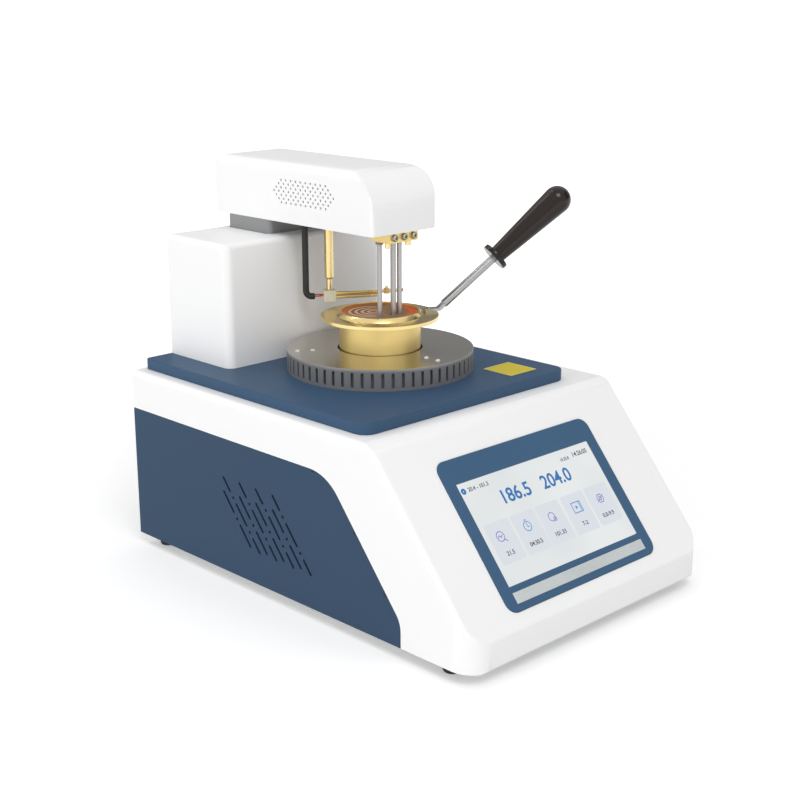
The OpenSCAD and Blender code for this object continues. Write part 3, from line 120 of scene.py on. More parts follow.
def makeTurnedGroup():
    # rings that a lathe leaves round an axis, wandering a little
    group, given, result = makeGroup("turnedRings", [
        ("Centre", "NodeSocketVector", (0, 0, 0)), ("Scale", "NodeSocketFloat", 300.0),
        ("Along", "NodeSocketFloat", 1.0)], ["Tone", "Height"])
    place = addNode(group, "ShaderNodeTexCoord").outputs["Object"]
    moved = addNode(group, "ShaderNodeVectorMath", {0: place, 1: given["Centre"]}, operation="SUBTRACT")
    split = addNode(group, "ShaderNodeSeparateXYZ", {"Vector": moved.outputs["Vector"]})
    flat = addNode(group, "ShaderNodeCombineXYZ", {"X": split.outputs["X"], "Y": split.outputs["Y"]})
    radius = addNode(group, "ShaderNodeVectorMath", {0: flat.outputs["Vector"]}, operation="LENGTH")
    height = addNode(group, "ShaderNodeMath", {0: split.outputs["Z"], 1: given["Along"]}, operation="MULTIPLY")
    line = addNode(group, "ShaderNodeCombineXYZ", {"X": radius.outputs["Value"], "Z": height.outputs["Value"]})
    rings = addNode(group, "ShaderNodeTexNoise", {"Vector": line.outputs["Vector"], "Scale": given["Scale"],
                                                   "Detail": 3.0, "Roughness": 0.7})
    smudge = addNode(group, "ShaderNodeTexNoise", {"Vector": place, "Scale": 35.0, "Detail": 3.0})
    tone = addNode(group, "ShaderNodeMix", {"Factor": 0.35, "A": rings.outputs["Fac"], "B": smudge.outputs["Fac"]})
    group.links.new(tone.outputs["Result"], result["Tone"])
    group.links.new(rings.outputs["Fac"], result["Height"])
    return group


def makeBrushedGroup():
    # fine scratches along one direction
    group, given, result = makeGroup("brushedGrain", [
        ("Stretch", "NodeSocketVector", (60, 2500, 2500))], ["Tone", "Height"])
    place = addNode(group, "ShaderNodeTexCoord").outputs["Object"]
    drawn = addNode(group, "ShaderNodeVectorMath", {0: place, 1: given["Stretch"]}, operation="MULTIPLY")
    lines = addNode(group, "ShaderNodeTexNoise", {"Vector": drawn.outputs["Vector"], "Scale": 1.0, "Detail": 4.0,
                                                   "Roughness": 0.65})
    smudge = addNode(group, "ShaderNodeTexNoise", {"Vector": place, "Scale": 28.0, "Detail": 3.0})
    tone = addNode(group, "ShaderNodeMix", {"Factor": 0.4, "A": lines.outputs["Fac"], "B": smudge.outputs["Fac"]})
    group.links.new(tone.outputs["Result"], result["Tone"])
    group.links.new(lines.outputs["Fac"], result["Height"])
    return group


coatSkin = makeCoatGroup()
turnedRings = makeTurnedGroup()
brushedGrain = makeBrushedGroup()
toneSpan = {"From Min": 0.3, "From Max": 0.7}      # the middle of the noise, where nearly all of it lies


def makeFinish(name, group, groupInputs, colour, change, rough, bump, **shaderValues):
    # one finish: a colour that the group's tone darkens and lightens, a roughness range and a bump
    material = bpy.data.materials.new(name)
    material.use_nodes = True
    tree = material.node_tree
    shader = tree.nodes["Principled BSDF"]
    skin = addNode(tree, "ShaderNodeGroup", node_tree=group)
    for key, value in groupInputs.items():
        skin.inputs[key].default_value = value
    low = [c * (1 - change) for c in colour] + [1]
    high = [min(1, c * (1 + change)) for c in colour] + [1]
    spread = addNode(tree, "ShaderNodeMapRange", {"Value": skin.outputs["Tone"], **toneSpan})
    paint = addNode(tree, "ShaderNodeMix", {"Factor": spread.outputs["Result"]}, data_type="RGBA")
    paint.inputs["A"].default_value, paint.inputs["B"].default_value = low, high
    tree.links.new(paint.outputs["Result"], shader.inputs["Base Color"])
    gloss = addNode(tree, "ShaderNodeMapRange", {"Value": skin.outputs["Tone"], **toneSpan,
                                                  "To Min": rough[0], "To Max": rough[1]})
    tree.links.new(gloss.outputs["Result"], shader.inputs["Roughness"])
    relief = addNode(tree, "ShaderNodeBump", {"Height": skin.outputs["Height"], "Distance": bump * millimetre,
                                               "Strength": 1.0})
    tree.links.new(relief.outputs["Normal"], shader.inputs["Normal"])
    for key, value in shaderValues.items():
        shader.inputs[key.replace("_", " ")].default_value = value
    return material


def makeCoat(name, mottle, peel, *look, **shaderValues):
    return makeFinish(name, coatSkin, {"Mottle Scale": mottle, "Peel Scale": peel}, *look, **shaderValues)


def makeTurned(name, scale, *look, along=1.0, **shaderValues):
    return makeFinish(name, turnedRings, {"Centre": cupFoot, "Scale": scale, "Along": along}, *look, **shaderValues)


def makeBrushed(name, stretch, *look, **shaderValues):
    return makeFinish(name, brushedGrain, {"Stretch": stretch}, *look, **shaderValues)


whitePaint = makeCoat("whitePaint", 6.0, 1100.0, (0.88, 0.88, 0.88), 0.006, (0.42, 0.5), 0.008, Specular_IOR_Level=0.3)
panelPaint = makeCoat("panelPaint", 8.0, 1500.0,
                      (0.029, 0.062, 0.115), 0.03, (0.5, 0.58), 0.01, Specular_IOR_Level=0.18)
plateLacquer = makeCoat("plateLacquer", 7.0, 700.0,
                        (0.038, 0.084, 0.156), 0.03, (0.40, 0.48), 0.004, Specular_IOR_Level=0.16)
bezelLacquer = makeCoat("bezelLacquer", 7.0, 900.0,
                        (0.050, 0.115, 0.208), 0.03, (0.36, 0.44), 0.004, Specular_IOR_Level=0.15)
greyPaint = makeCoat("greyPaint", 12.0, 1300.0, (0.24, 0.245, 0.25), 0.04, (0.42, 0.5), 0.02)
zincSheet = makeBrushed("zincSheet", (2200, 70, 2200), (0.44, 0.45, 0.46), 0.12, (0.34, 0.48), 0.01, Metallic=1.0)
brightSteel = makeCoat("brightSteel", 60.0, 400.0, (0.36, 0.365, 0.36), 0.05, (0.24, 0.30), 0.0003, Metallic=1.0)
probeSteel = makeCoat("probeSteel", 60.0, 400.0, (0.44, 0.42, 0.415), 0.03, (0.42, 0.5), 0.0003, Metallic=1.0)
screwSteel = makeTurned("screwSteel", 1500.0, (0.66, 0.65, 0.63), 0.1, (0.16, 0.28), 0.004, Metallic=1.0)
screwDull = makeTurned("screwDull", 1500.0, (0.38, 0.36, 0.31), 0.1, (0.26, 0.36), 0.003, Metallic=1.0)
discSteel = makeTurned("discSteel", 700.0, (0.56, 0.535, 0.495), 0.03, (0.20, 0.26), 0.0004, along=0.0, Metallic=1.0)
ringSteel = makeTurned("ringSteel", 500.0, (0.160, 0.164, 0.172), 0.04, (0.5, 0.6), 0.003, Metallic=0.3)
# darker copy of the disc's steel for its side: painted shade
shadedDiscSide = makeTurned("shadedDiscSide", 500.0, (0.27, 0.265, 0.26), 0.04, (0.45, 0.55), 0.003, Metallic=0.4)
satinAluminium = makeBrushed("satinAluminium", (90, 2000, 2000),
                             (0.58, 0.59, 0.60), 0.08, (0.3, 0.42), 0.008, Metallic=1.0)
cupBrass = makeTurned("cupBrass", 520.0, (0.76, 0.585, 0.235), 0.03, (0.36, 0.44), 0.0008, Metallic=1.0)
# glossier and paler brass for the cup's top 6.6 mm: the gloss is real, the paler colour is painted highlight
rimBrassHighlight = makeTurned("rimBrassHighlight", 520.0, (0.76, 0.60, 0.27), 0.03, (0.20, 0.27), 0.0006, Metallic=1.0)
rodBrass = makeCoat("rodBrass", 60.0, 400.0, (0.76, 0.60, 0.29), 0.04, (0.24, 0.32), 0.0003, Metallic=1.0)
elementMica = makeCoat("elementMica", 60.0, 900.0, (0.38, 0.30, 0.16), 0.2, (0.4, 0.6), 0.03)
creamCeramic = makeCoat("creamCeramic", 120.0, 2600.0, (0.68, 0.64, 0.52), 0.06, (0.5, 0.66), 0.05)
footRubber = makeCoat("footRubber", 90.0, 2400.0, (0.018, 0.018, 0.019), 0.3, (0.6, 0.78), 0.06)
blackPlastic = makeCoat("blackPlastic", 40.0, 2600.0, (0.028, 0.028, 0.030), 0.2, (0.42, 0.56), 0.03)
motorBlack = makeCoat("motorBlack", 50.0, 1600.0, (0.035, 0.035, 0.038), 0.2, (0.36, 0.5), 0.02)
gripBrown = makeBrushed("gripBrown", (160, 700, 160),
                        (0.012, 0.006, 0.004), 0.25, (0.09, 0.13), 0.0004, Specular_IOR_Level=0.34)
yellowFilm = makeCoat("yellowFilm", 30.0, 1200.0,
                      (0.62, 0.50, 0.03), 0.04, (0.45, 0.55), 0.004, Specular_IOR_Level=0.25)
yellowEdge = makeCoat("yellowEdge", 30.0, 1200.0, (0.93, 0.85, 0.42), 0.03, (0.3, 0.4), 0.008)
stripSilver = makeBrushed("stripSilver", (70, 1800, 1800), (0.76, 0.80, 0.81), 0.05, (0.34, 0.44), 0.003, Metallic=0.6)
leadRed = makeCoat("leadRed", 200.0, 2600.0, (0.45, 0.045, 0.03), 0.15, (0.35, 0.5), 0.02)
leadPale = makeCoat("leadPale", 200.0, 2600.0, (0.62, 0.48, 0.40), 0.1, (0.35, 0.5), 0.02)
boardGreen = makeCoat("boardGreen", 50.0, 1200.0, (0.012, 0.10, 0.04), 0.15, (0.25, 0.36), 0.02)
glandGrey = makeCoat("glandGrey", 90.0, 1800.0, (0.26, 0.21, 0.20), 0.08, (0.4, 0.5), 0.01)
# grey band behind the ring's slots: painted shade
ringSlotShade = makeCoat("ringSlotShade", 90.0, 1800.0, (0.12, 0.123, 0.130), 0.08, (0.5, 0.6), 0.01)
# near black sheet behind the vents: painted shade
ventShadeSheet = makeCoat("ventShadeSheet", 150.0, 2200.0, (0.010, 0.012, 0.016), 0.3, (0.8, 0.95), 0.08)


sleeveSettings = {"lean": 35, "yarns": 420.0, "depth": 0.12 * millimetre, "strength": 0.8}


def makeSleeveWeave():
    # braided sleeve: two crossed sets of yarns
    s = sleeveSettings
    material = makeCoat("sleeveWeave", 120.0, 2400.0, (0.017, 0.017, 0.017), 0.3, (0.5, 0.62), 0.03)
    tree = material.node_tree
    shader = tree.nodes["Principled BSDF"]
    place = addNode(tree, "ShaderNodeTexCoord").outputs["Object"]
    yarns = []
    for lean in (s["lean"], -s["lean"]):
        turned = addNode(tree, "ShaderNodeMapping", {"Vector": place, "Rotation": (0, math.radians(lean), 0)})
        wave = addNode(tree, "ShaderNodeTexWave", {"Vector": turned.outputs["Vector"], "Scale": s["yarns"]})
        yarns.append(wave.outputs["Fac"])
    braid = addNode(tree, "ShaderNodeMath", {0: yarns[0], 1: yarns[1]}, operation="MAXIMUM")
    relief = addNode(tree, "ShaderNodeBump", {"Height": braid.outputs["Value"], "Distance": s["depth"],
                                               "Strength": s["strength"]})
    tree.links.new(relief.outputs["Normal"], shader.inputs["Normal"])
    return material


def makeGlow(name, colour, strength, base=(0.02, 0.02, 0.02)):
    # a finish that shines by itself: the lit display's picture, and the igniter's wire, whose red glow is painted light
    material = makeCoat(name, 20.0, 900.0, base, 0.0, (0.22, 0.3), 0.0)
    shader = material.node_tree.nodes["Principled BSDF"]
    shader.inputs["Emission Color"].default_value = (*colour, 1)
    shader.inputs["Emission Strength"].default_value = strength
    return material


lightSettings = {"scale": 16.0, "span": (0.35, 0.65), "dim": (0.70, 0.735, 0.75), "bright": (0.77, 0.79, 0.79)}


def makeScreenLight():
    # the display's background: nearly white with a faint bluish sweep
    s = lightSettings
    material = makeGlow("screenLight", s["bright"], 1.0)
    tree = material.node_tree
    shader = tree.nodes["Principled BSDF"]
    place = addNode(tree, "ShaderNodeTexCoord").outputs["Object"]
    sweep = addNode(tree, "ShaderNodeTexNoise", {"Vector": place, "Scale": s["scale"], "Detail": 1.0})
    shade = addNode(tree, "ShaderNodeMapRange", {"Value": sweep.outputs["Fac"], "From Min": s["span"][0],
                                                  "From Max": s["span"][1]})
    light = addNode(tree, "ShaderNodeMix", {"Factor": shade.outputs["Result"]}, data_type="RGBA")
    light.inputs["A"].default_value = (*s["dim"], 1)
    light.inputs["B"].default_value = (*s["bright"], 1)
    tree.links.new(light.outputs["Result"], shader.inputs["Emission Color"])
    return material


def makeSampleOil():
    # orange sample that turns brown over the cup's middle, with pale rings round a point beside the axis; the brown
    # middle and the rings are painted reflection of the brass cup
    s = sampleSettings
    material = makeCoat("sampleOil", 40.0, 300.0, s["orange"], 0.1, (0.26, 0.34), 0.0, Specular_IOR_Level=0.1)
    tree = material.node_tree
    shader = tree.nodes["Principled BSDF"]
    place = addNode(tree, "ShaderNodeTexCoord").outputs["Object"]

    def reach(vector):
        return addNode(tree, "ShaderNodeVectorMath", {0: vector.outputs["Vector"]}, operation="LENGTH").outputs["Value"]

    def step(value, start, end):
        return addNode(tree, "ShaderNodeMapRange", {"Value": value, "From Min": start, "From Max": end},
                       interpolation_type="SMOOTHSTEP").outputs["Result"]

    def blend(factor, under, over):
        paint = addNode(tree, "ShaderNodeMix", {"Factor": factor}, data_type="RGBA")
        for key, value in (("A", under), ("B", over)):
            if isinstance(value, bpy.types.NodeSocket):
                tree.links.new(value, paint.inputs[key])
            else:
                paint.inputs[key].default_value = (*value, 1)
        return paint.outputs["Result"]

    def product(first, second):
        return addNode(tree, "ShaderNodeMath", {0: first, 1: second}, operation="MULTIPLY").outputs["Value"]

    fromRings = addNode(tree, "ShaderNodeVectorMath", {0: place, 1: s["ringCentre"]}, operation="SUBTRACT")
    shifted = addNode(tree, "ShaderNodeMath", {0: reach(fromRings), 1: s["ringPhase"]}, operation="ADD")
    wave = addNode(tree, "ShaderNodeMath", {0: product(shifted.outputs["Value"], 2 * math.pi / s["ringPitch"])},
                   operation="COSINE")
    split = addNode(tree, "ShaderNodeSeparateXYZ", {"Vector": fromRings.outputs["Vector"]})
    across = addNode(tree, "ShaderNodeMath", {0: split.outputs["X"], 1: split.outputs["Y"]}, operation="SUBTRACT")
    strength = product(step(reach(fromRings), *s["ringReach"]), step(across.outputs["Value"], *s["ringAcross"]))
    rings = blend(step(wave.outputs["Value"], *s["ringEdge"]), s["ringDark"], s["ringPale"])
    middle = blend(strength, s["brown"], rings)
    fromBrown = addNode(tree, "ShaderNodeMapping", {"Vector": place, "Location": s["brownCentre"], "Rotation": (
        0, 0, math.radians(-45)), "Scale": s["brownStretch"]}, vector_type="TEXTURE")
    inside = step(reach(fromBrown), *s["brownReach"])
    tree.links.new(blend(inside, s["orange"], middle), shader.inputs["Base Color"])
    return material


sampleSettings = {
    "radius": 31.65 * millimetre, "steps": 96,
    "depth": 1.1 * millimetre,       # surface below the rim
    "thickness": 2.0 * millimetre,
    "meniscus": ((0.0006, 0.00035), (0.0012, 0.0002), (0.003, 0.00005)),     # width and drop, from the edge inwards
    "ringCentre": cupFoot + Vector((-0.0034, 0.0043, 0.2154)),
    "ringPitch": 0.00525, "ringPhase": 0.00105, "ringEdge": (-0.35, 0.45),
    "ringReach": (0.0228, 0.0216),           # none from the first distance, full from the second
    "ringAcross": (0.018, -0.004),
    "brownCentre": cupFoot + Vector((-0.0014, 0.0014, 0.2154)),
    "brownStretch": (1.0, 1.15, 1.0),        # longer from the near edge to the far edge
    "brownReach": (0.0275, 0.0245),
    # the brown middle and the dark and pale rings are painted reflection of the brass cup
    "orange": (0.60, 0.112, 0.010), "brown": (0.26, 0.135, 0.055),
    "ringDark": (0.19, 0.068, 0.027), "ringPale": (0.70, 0.44, 0.28),
}

sleeveWeave = makeSleeveWeave()
screenLight = makeScreenLight()
sampleOil = makeSampleOil()
# red glow of the igniter's wire from its own emission: painted light
paintedGlowWire = makeGlow("paintedGlowWire", (0.42, 0.004, 0.03), 0.6, (0.12, 0.005, 0.012))
tileLight = makeGlow("tileLight", (0.675, 0.705, 0.76), 1.0)
inkBlue = makeGlow("inkBlue", (0.02, 0.16, 0.44), 1.0)
inkCyan = makeGlow("inkCyan", (0.05, 0.26, 0.58), 1.0)
inkViolet = makeGlow("inkViolet", (0.22, 0.18, 0.50), 1.0)
inkDark = makeGlow("inkDark", (0.06, 0.06, 0.09), 1.0)
print("finishes made")


# Finishing of the CAD solids

def finishPiece(name, bm, material, body, replaced=(), sharp=32, hard=True):
    # turns a bmesh into a piece that rides on a body
    mesh = bpy.data.meshes.new(name)
    bm.to_mesh(mesh)
    bm.free()
    for polygon in mesh.polygons:
        polygon.use_smooth = True
    mesh.set_sharp_from_angle(angle=math.radians(sharp))
    for entry in material if isinstance(material, (list, tuple)) else [material]:
        mesh.materials.append(entry)
    piece = bpy.data.objects.new(name, mesh)
    bpy.context.scene.collection.objects.link(piece)
    if hard:
        weighting = piece.modifiers.new("faceWeights", "WEIGHTED_NORMAL")
        weighting.keep_sharp = True
    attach(piece, body)
    if replaced:
        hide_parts(*replaced)
    return piece


weldGap = 0.002 * millimetre
bodyOf = {node: body for body, members in frame["record"]["behaviour"]["bodies"].items() for node in members}


def pieceName(node):
    words = node.split("_")
    return words[0] + "".join(word.capitalize() for word in words[1:])


def softenEdges(node, material, width, lower=None, segments=2, angle=35, flat=0.3):
    # copies a solid, merges its triangles into flat faces and rounds its sharp edges
    bm = bmesh.new()
    bm.from_mesh(cadNodes[node].data)
    bmesh.ops.remove_doubles(bm, verts=bm.verts, dist=weldGap)
    bmesh.ops.dissolve_limit(bm, angle_limit=math.radians(flat), verts=bm.verts, edges=bm.edges)
    sharp = [edge for edge in bm.edges
             if len(edge.link_faces) == 2 and edge.calc_face_angle(0) > math.radians(angle)]
    bmesh.ops.bevel(bm, geom=sharp, offset=width * millimetre, offset_type="OFFSET", segments=segments, profile=0.5,
                    affect="EDGES", clamp_overlap=True, material=-1)
    if lower:      # faces deeper under the top than this take a second finish
        lowerMaterial, depth = lower
        top = max(v.co.z for v in bm.verts)
        for face in bm.faces:
            face.material_index = 0 if face.calc_center_median().z > top - depth * millimetre else 1
        material = [material, lowerMaterial]
    return finishPiece(pieceName(node), bm, material, bodyOf[node], [node])


softened = {
    "housing_shell": (whitePaint, 0.5), "side_panel_left": (panelPaint, 0.3), "side_panel_right": (panelPaint, 0.3),
    "rear_panel": (panelPaint, 0.3), "base_pan": (zincSheet, 0.3), "foot_front_left": (footRubber, 0.8),
    "foot_front_right": (footRubber, 0.8), "foot_rear_left": (footRubber, 0.8), "foot_rear_right": (footRubber, 0.8),
    "top_plate": (plateLacquer, 1.0), "screen_bezel": (bezelLacquer, 0.5), "bezel_strip": (stripSilver, 0.12),
    "heater_ring": (ringSteel, 0.25), "heater_disc": (discSteel, 0.7), "heating_plate": (satinAluminium, 0.4),
    "heater_base": (creamCeramic, 0.3), "tower_cover": (whitePaint, 0.5), "tower_frame": (zincSheet, 0.3),
    "lift_column": (greyPaint, 0.3), "head_shell": (whitePaint, 0.35), "head_base": (zincSheet, 0.3),
    "sensor_plate": (cupBrass, 0.35), "sensor_studs": (rodBrass, 0.3), "probe_gland": (glandGrey, 0.4),
    "temperature_probe": (probeSteel, 0.3), "electrode_left": (probeSteel, 0.3), "electrode_right": (probeSteel, 0.3),
    "sweep_shaft": (rodBrass, 0.3), "igniter_block": (creamCeramic, 0.6), "igniter_tube_upper": (rodBrass, 0.2),
    "igniter_tube_lower": (rodBrass, 0.2), "igniter_terminal": (rodBrass, 0.3), "igniter_sleeve": (sleeveWeave, 0.3),
    # the cup's rim and flange take a paler brass than its wall: painted highlight
    "test_cup": (rimBrassHighlight, 0.4), "handle_rod": (brightSteel, 0.4), "handle_guard": (gripBrown, 0.9),
    "handle_grip": (gripBrown, 0.6), "power_entry": (blackPlastic, 0.3), "power_rocker": (blackPlastic, 0.3),
    "fan_frame": (blackPlastic, 0.3), "fan_rotor": (blackPlastic, 0.2),
}
# the heater disc's side takes a darker steel, painted shade
lowerFinishes = {"heater_disc": (shadedDiscSide, 0.7), "test_cup": (cupBrass, 6.6)}     # millimetres under the top
for node, (material, width) in softened.items():
    softenEdges(node, material, width, lowerFinishes.get(node))

innerFinishes = {
    "screen_glass": screenLight, "display_module": blackPlastic, "blank_plate": yellowFilm,
    "heating_element": elementMica, "guide_rod_left": brightSteel, "guide_rod_right": brightSteel,
    "lift_motor": motorBlack, "lead_screw": brightSteel, "lift_carriage": satinAluminium, "lift_nut": cupBrass,
    "sweep_motor": motorBlack, "sweep_bracket": zincSheet, "sweep_carrier": blackPlastic,
    "controller_board": boardGreen, "power_supply": satinAluminium,
}
for node, material in innerFinishes.items():
    data = cadNodes[node].data
    data.materials.clear()
    data.materials.append(material)
print("solids finished")


# Screws with a cross recess

screwSettings = {
    "headRadius": 2.8 * millimetre, "headHeight": 1.8 * millimetre,
    "sensorRadius": 3.0 * millimetre, "sensorHeight": 2.8 * millimetre,
    "taper": 0.86, "dome": 0.3, "flat": 0.12,                               # shares of the head's radius
    "crossLength": 3.0 * millimetre, "crossWidth": 0.75 * millimetre, "crossDepth": 0.9 * millimetre,
    "crossSunk": 0.38, "crossTurn": 20,      # the first a share of the cross's depth
    "shankRadius": 1.5 * millimetre, "shankLength": 5.0 * millimetre,
    "discLevel": 100.0 * millimetre,         # screws above it hold the disc
    "upright": 1.1,                          # height over depth of a screw that stands
}


def addScrew(bm, matrix, radius, height, headSlot):
    # a domed pan head with a cross let into it, on a plain shank, standing on Z = 0
    s = screwSettings
    part = bmesh.new()
    bmesh.ops.create_cone(part, cap_ends=True, segments=24, radius1=radius, radius2=radius * s["taper"],
                          depth=height, matrix=Matrix.Translation((0, 0, height / 2)))
    rim = [e for e in part.edges if all(v.co.z > height / 2 for v in e.verts)]
    bmesh.ops.bevel(part, geom=rim, offset=radius * s["dome"], segments=4, profile=0.5, affect="EDGES", material=-1)
    top = max(part.faces, key=lambda face: face.calc_center_median().z)
    bmesh.ops.inset_region(part, faces=[top], thickness=radius * s["flat"])
    bmesh.ops.create_cone(part, cap_ends=True, segments=16, radius1=s["shankRadius"], radius2=s["shankRadius"],
                          depth=s["shankLength"], matrix=Matrix.Translation((0, 0, -s["shankLength"] / 2)))
    size = Matrix.Diagonal((s["crossLength"], s["crossWidth"], s["crossDepth"], 1))
    for turn in (0, 90):
        place = Matrix.Translation((0, 0, height - s["crossDepth"] * s["crossSunk"])) @ Matrix.Rotation(
            math.radians(turn + s["crossTurn"]), 4, "Z") @ size
        slotCut = bmesh.ops.create_cube(part, size=1.0, matrix=place)
        # the faces of the cross take the dark recess finish: painted shade in the recess
        for face in {f for v in slotCut["verts"] for f in v.link_faces}:
            face.material_index = 1
    for face in part.faces:
        face.material_index += headSlot
    bmesh.ops.transform(part, matrix=matrix, verts=part.verts)
    mesh = bpy.data.meshes.new("screwPart")
    part.to_mesh(mesh)
    part.free()
    bm.from_mesh(mesh)
    bpy.data.meshes.remove(mesh)


def solidBoxes(node):
    # the low and high corner of each loose solid of a node
    bm = bmesh.new()
    bm.from_mesh(cadNodes[node].data)
    bmesh.ops.remove_doubles(bm, verts=bm.verts, dist=weldGap)
    seen, found = set(), []
    for start in bm.verts:
        if start in seen:
            continue
        island, waiting = [], [start]
        seen.add(start)
        while waiting:
            vert = waiting.pop()
            island.append(vert.co.copy())
            for edge in vert.link_edges:
                other = edge.other_vert(vert)
                if other not in seen:
                    seen.add(other)
                    waiting.append(other)
        low = Vector([min(c[i] for c in island) for i in range(3)])
        high = Vector([max(c[i] for c in island) for i in range(3)])
        found.append((low, high))
    bm.free()
    return found


# near black finish for the screws' cross recesses: painted shade in the recess
paintedRecessShade = makeCoat("paintedRecessShade", 200.0, 2000.0, (0.05, 0.048, 0.045), 0.1, (0.4, 0.5), 0.0, Metallic=0.8)
# pale heads for the screws on the disc: painted glint
headPale = makeCoat("headPale", 200.0, 2000.0, (0.84, 0.84, 0.82), 0.04, (0.35, 0.45), 0.0)


def makeScrews(name, node, head, radius, height):
    bm = bmesh.new()
    s = screwSettings
    for low, high in solidBoxes(node):
        middle, size = (low + high) / 2, high - low
        if size.z > size.y * s["upright"]:
            matrix = Matrix.Translation((middle.x, middle.y, high.z - height))
        elif node == "case_screws":                    # points out of the back
            matrix = Matrix.Translation((middle.x, high.y - height, middle.z)) @ Matrix.Rotation(
                math.radians(-90), 4, "X")
        else:                                          # points out of the front
            matrix = Matrix.Translation((middle.x, low.y + height, middle.z)) @ Matrix.Rotation(
                math.radians(90), 4, "X")
        # screws on the disc take the pale head, a painted glint
        onDisc = node == "case_screws" and low.z > s["discLevel"]
        addScrew(bm, matrix, radius, height, 2 if onDisc else 0)
    finishPiece(name, bm, [head, paintedRecessShade, headPale, paintedRecessShade], bodyOf[node], [node])


makeScrews("caseScrews", "case_screws", screwSteel, screwSettings["headRadius"], screwSettings["headHeight"])
makeScrews("sensorScrews", "sensor_plate_screws", screwDull, screwSettings["sensorRadius"],
           screwSettings["sensorHeight"])
print("screws made")


# Screen picture: plain tiles, line icons and figures on the lit display

screenSettings = {
    "slope": 50.3,
    "chinTop": cupFoot / millimetre + Vector((0, -234.0, 32.6)),   # foot of the slope, millimetres
    "level": 0.44,                             # height of the picture above the slope, millimetres
    "tileX": (-58.0, -29.2, -0.9, 28.9, 57.7), "tileY": 63.0, "tileWidth": 26.5, "tileHeight": 33.0, "tileRadius": 2.0,
    "iconX": (-60.0, -29.6, -1.5, 28.2, 57.7), "iconY": 67.8, "barLift": 0.1,
    "captions": ("21.5", "04:30.5", "101.33", "7-2", "0.0-9.9"), "captionY": 53.8, "captionSize": 4.9,
    "figures": (("186.5   204.0", -0.6, 94.4, 15.6, "inkBlue"), ("14:26:05", 61.5, 108.0, 5.4, "inkDark"),
                ("10.25.8", 42.5, 107.0, 3.6, "inkDark"), ("20.4 - 101.3", -56.5, 108.6, 4.6, "inkDark")),
    "figureRaise": 0.03, "figureBold": 0.018,
    "badge": (-72.4, 108.6, 2.5, 2.0, 0.1),
    "inks": {"tileLight": 0, "inkBlue": 1, "inkCyan": 2, "inkViolet": 3, "inkDark": 4},
}

# each icon: its ink, its rings as (x, y, radius, line, lift, sides, turn) and its bars as (x, y, width, height,
# corner, turn), millimetres from the icon's middle
screenIcons = (
    ("inkViolet", [(0, 0, 4.2, 0.7, 0.12, 40, 0)],                                # magnifier with a curve
     [(3.99, -3.99, 3.2, 0.8, 0.2, -45), (-1.9, 0, 2.6, 0.7, 0, 50), (-0.3, 0, 2.6, 0.7, 0, -50),
      (1.4, 0, 2.6, 0.7, 0, 50)]),
    ("inkCyan", [(0, 0, 4.2, 0.7, 0.12, 40, 0)],                                  # stop watch
     [(0, 1.2, 0.7, 3.4, 0, 0), (1.0, -0.6, 2.2, 0.7, 0, -25), (0, 5.1, 2.2, 0.8, 0.2, 0)]),
    ("inkViolet", [(0, 0, 4.2, 0.7, 0.12, 6, 0), (2.604, -2.31, 1.8, 0.7, 0.14, 24, 0)], []),   # outline and ring
    ("inkCyan", [(0, 0, 1.9, 0.9, 0.12, 3, -90)],                                 # two sheets and a play sign
     [(0, 4.2, 8.6, 0.7, 0, 0), (0, -4.2, 8.6, 0.7, 0, 0), (4.3, 0, 0.7, 8.9, 0, 0), (1.5, 4.2, 8.6, 0.7, 0, 0),
      (1.5, -4.2, 8.6, 0.7, 0, 0), (5.8, 0, 0.7, 8.9, 0, 0), (-4.3, 0, 0.7, 8.9, 0, 0)]),
    ("inkViolet", [(0, 0, 4.2, 0.7, 0.12, 6, 30), (0, 0, 1.89, 0.7, 0.12, 40, 0)],            # six-sided nut
     [(0, 0, 9.3, 0.63, 0, 30)]),
)


def slopeMatrix(x, s, lift=0.0):
    origin = screenSettings["chinTop"] * millimetre
    tilt = Matrix.Rotation(math.radians(screenSettings["slope"]), 4, "X")
    return Matrix.Translation(origin) @ tilt @ Matrix.Translation(
        Vector((x, s, screenSettings["level"] + lift)) * millimetre) @ Matrix.Scale(millimetre, 4)


def placeNew(bm, known, index, matrix):
    # gives the new faces their ink and sets the new corners on the slope
    added = [v for v in bm.verts if v not in known]
    for face in {f for v in added for f in v.link_faces}:
        face.material_index = index
    bmesh.ops.transform(bm, matrix=matrix, verts=added)


def addPlate(bm, x, s, width, height, radius, lift, index, thickness=0.06, turn=0.0):
    # flat rounded plate of the picture
    known = set(bm.verts)
    made = bmesh.ops.create_grid(bm, x_segments=1, y_segments=1, size=0.5,
                                 matrix=Matrix.Diagonal((width, height, 1, 1)))
    if radius:
        bmesh.ops.bevel(bm, geom=made["verts"], offset=radius, segments=5, profile=0.5, affect="VERTICES",
                        clamp_overlap=True, material=-1)
    faces = list(dict.fromkeys(f for v in bm.verts if v not in known for f in v.link_faces))
    raised = bmesh.ops.extrude_face_region(bm, geom=faces)
    lifted = [g for g in raised["geom"] if isinstance(g, bmesh.types.BMVert)]
    bmesh.ops.translate(bm, vec=(0, 0, thickness), verts=lifted)
    placeNew(bm, known, index, slopeMatrix(x, s, lift) @ Matrix.Rotation(math.radians(turn), 4, "Z"))


def addRing(bm, x, s, radius, line, lift, index, sides=40, turn=0.0):
    # flat ring of the picture
    known = set(bm.verts)
    made = bmesh.ops.create_circle(bm, cap_ends=True, segments=sides, radius=radius,
                                   matrix=Matrix.Rotation(math.radians(turn), 4, "Z"))
    face = made["verts"][0].link_faces[0]
    bmesh.ops.inset_region(bm, faces=[face], thickness=line, use_even_offset=True, use_boundary=True)
    bmesh.ops.delete(bm, geom=[face], context="FACES_ONLY")
    placeNew(bm, known, index, slopeMatrix(x, s, lift))


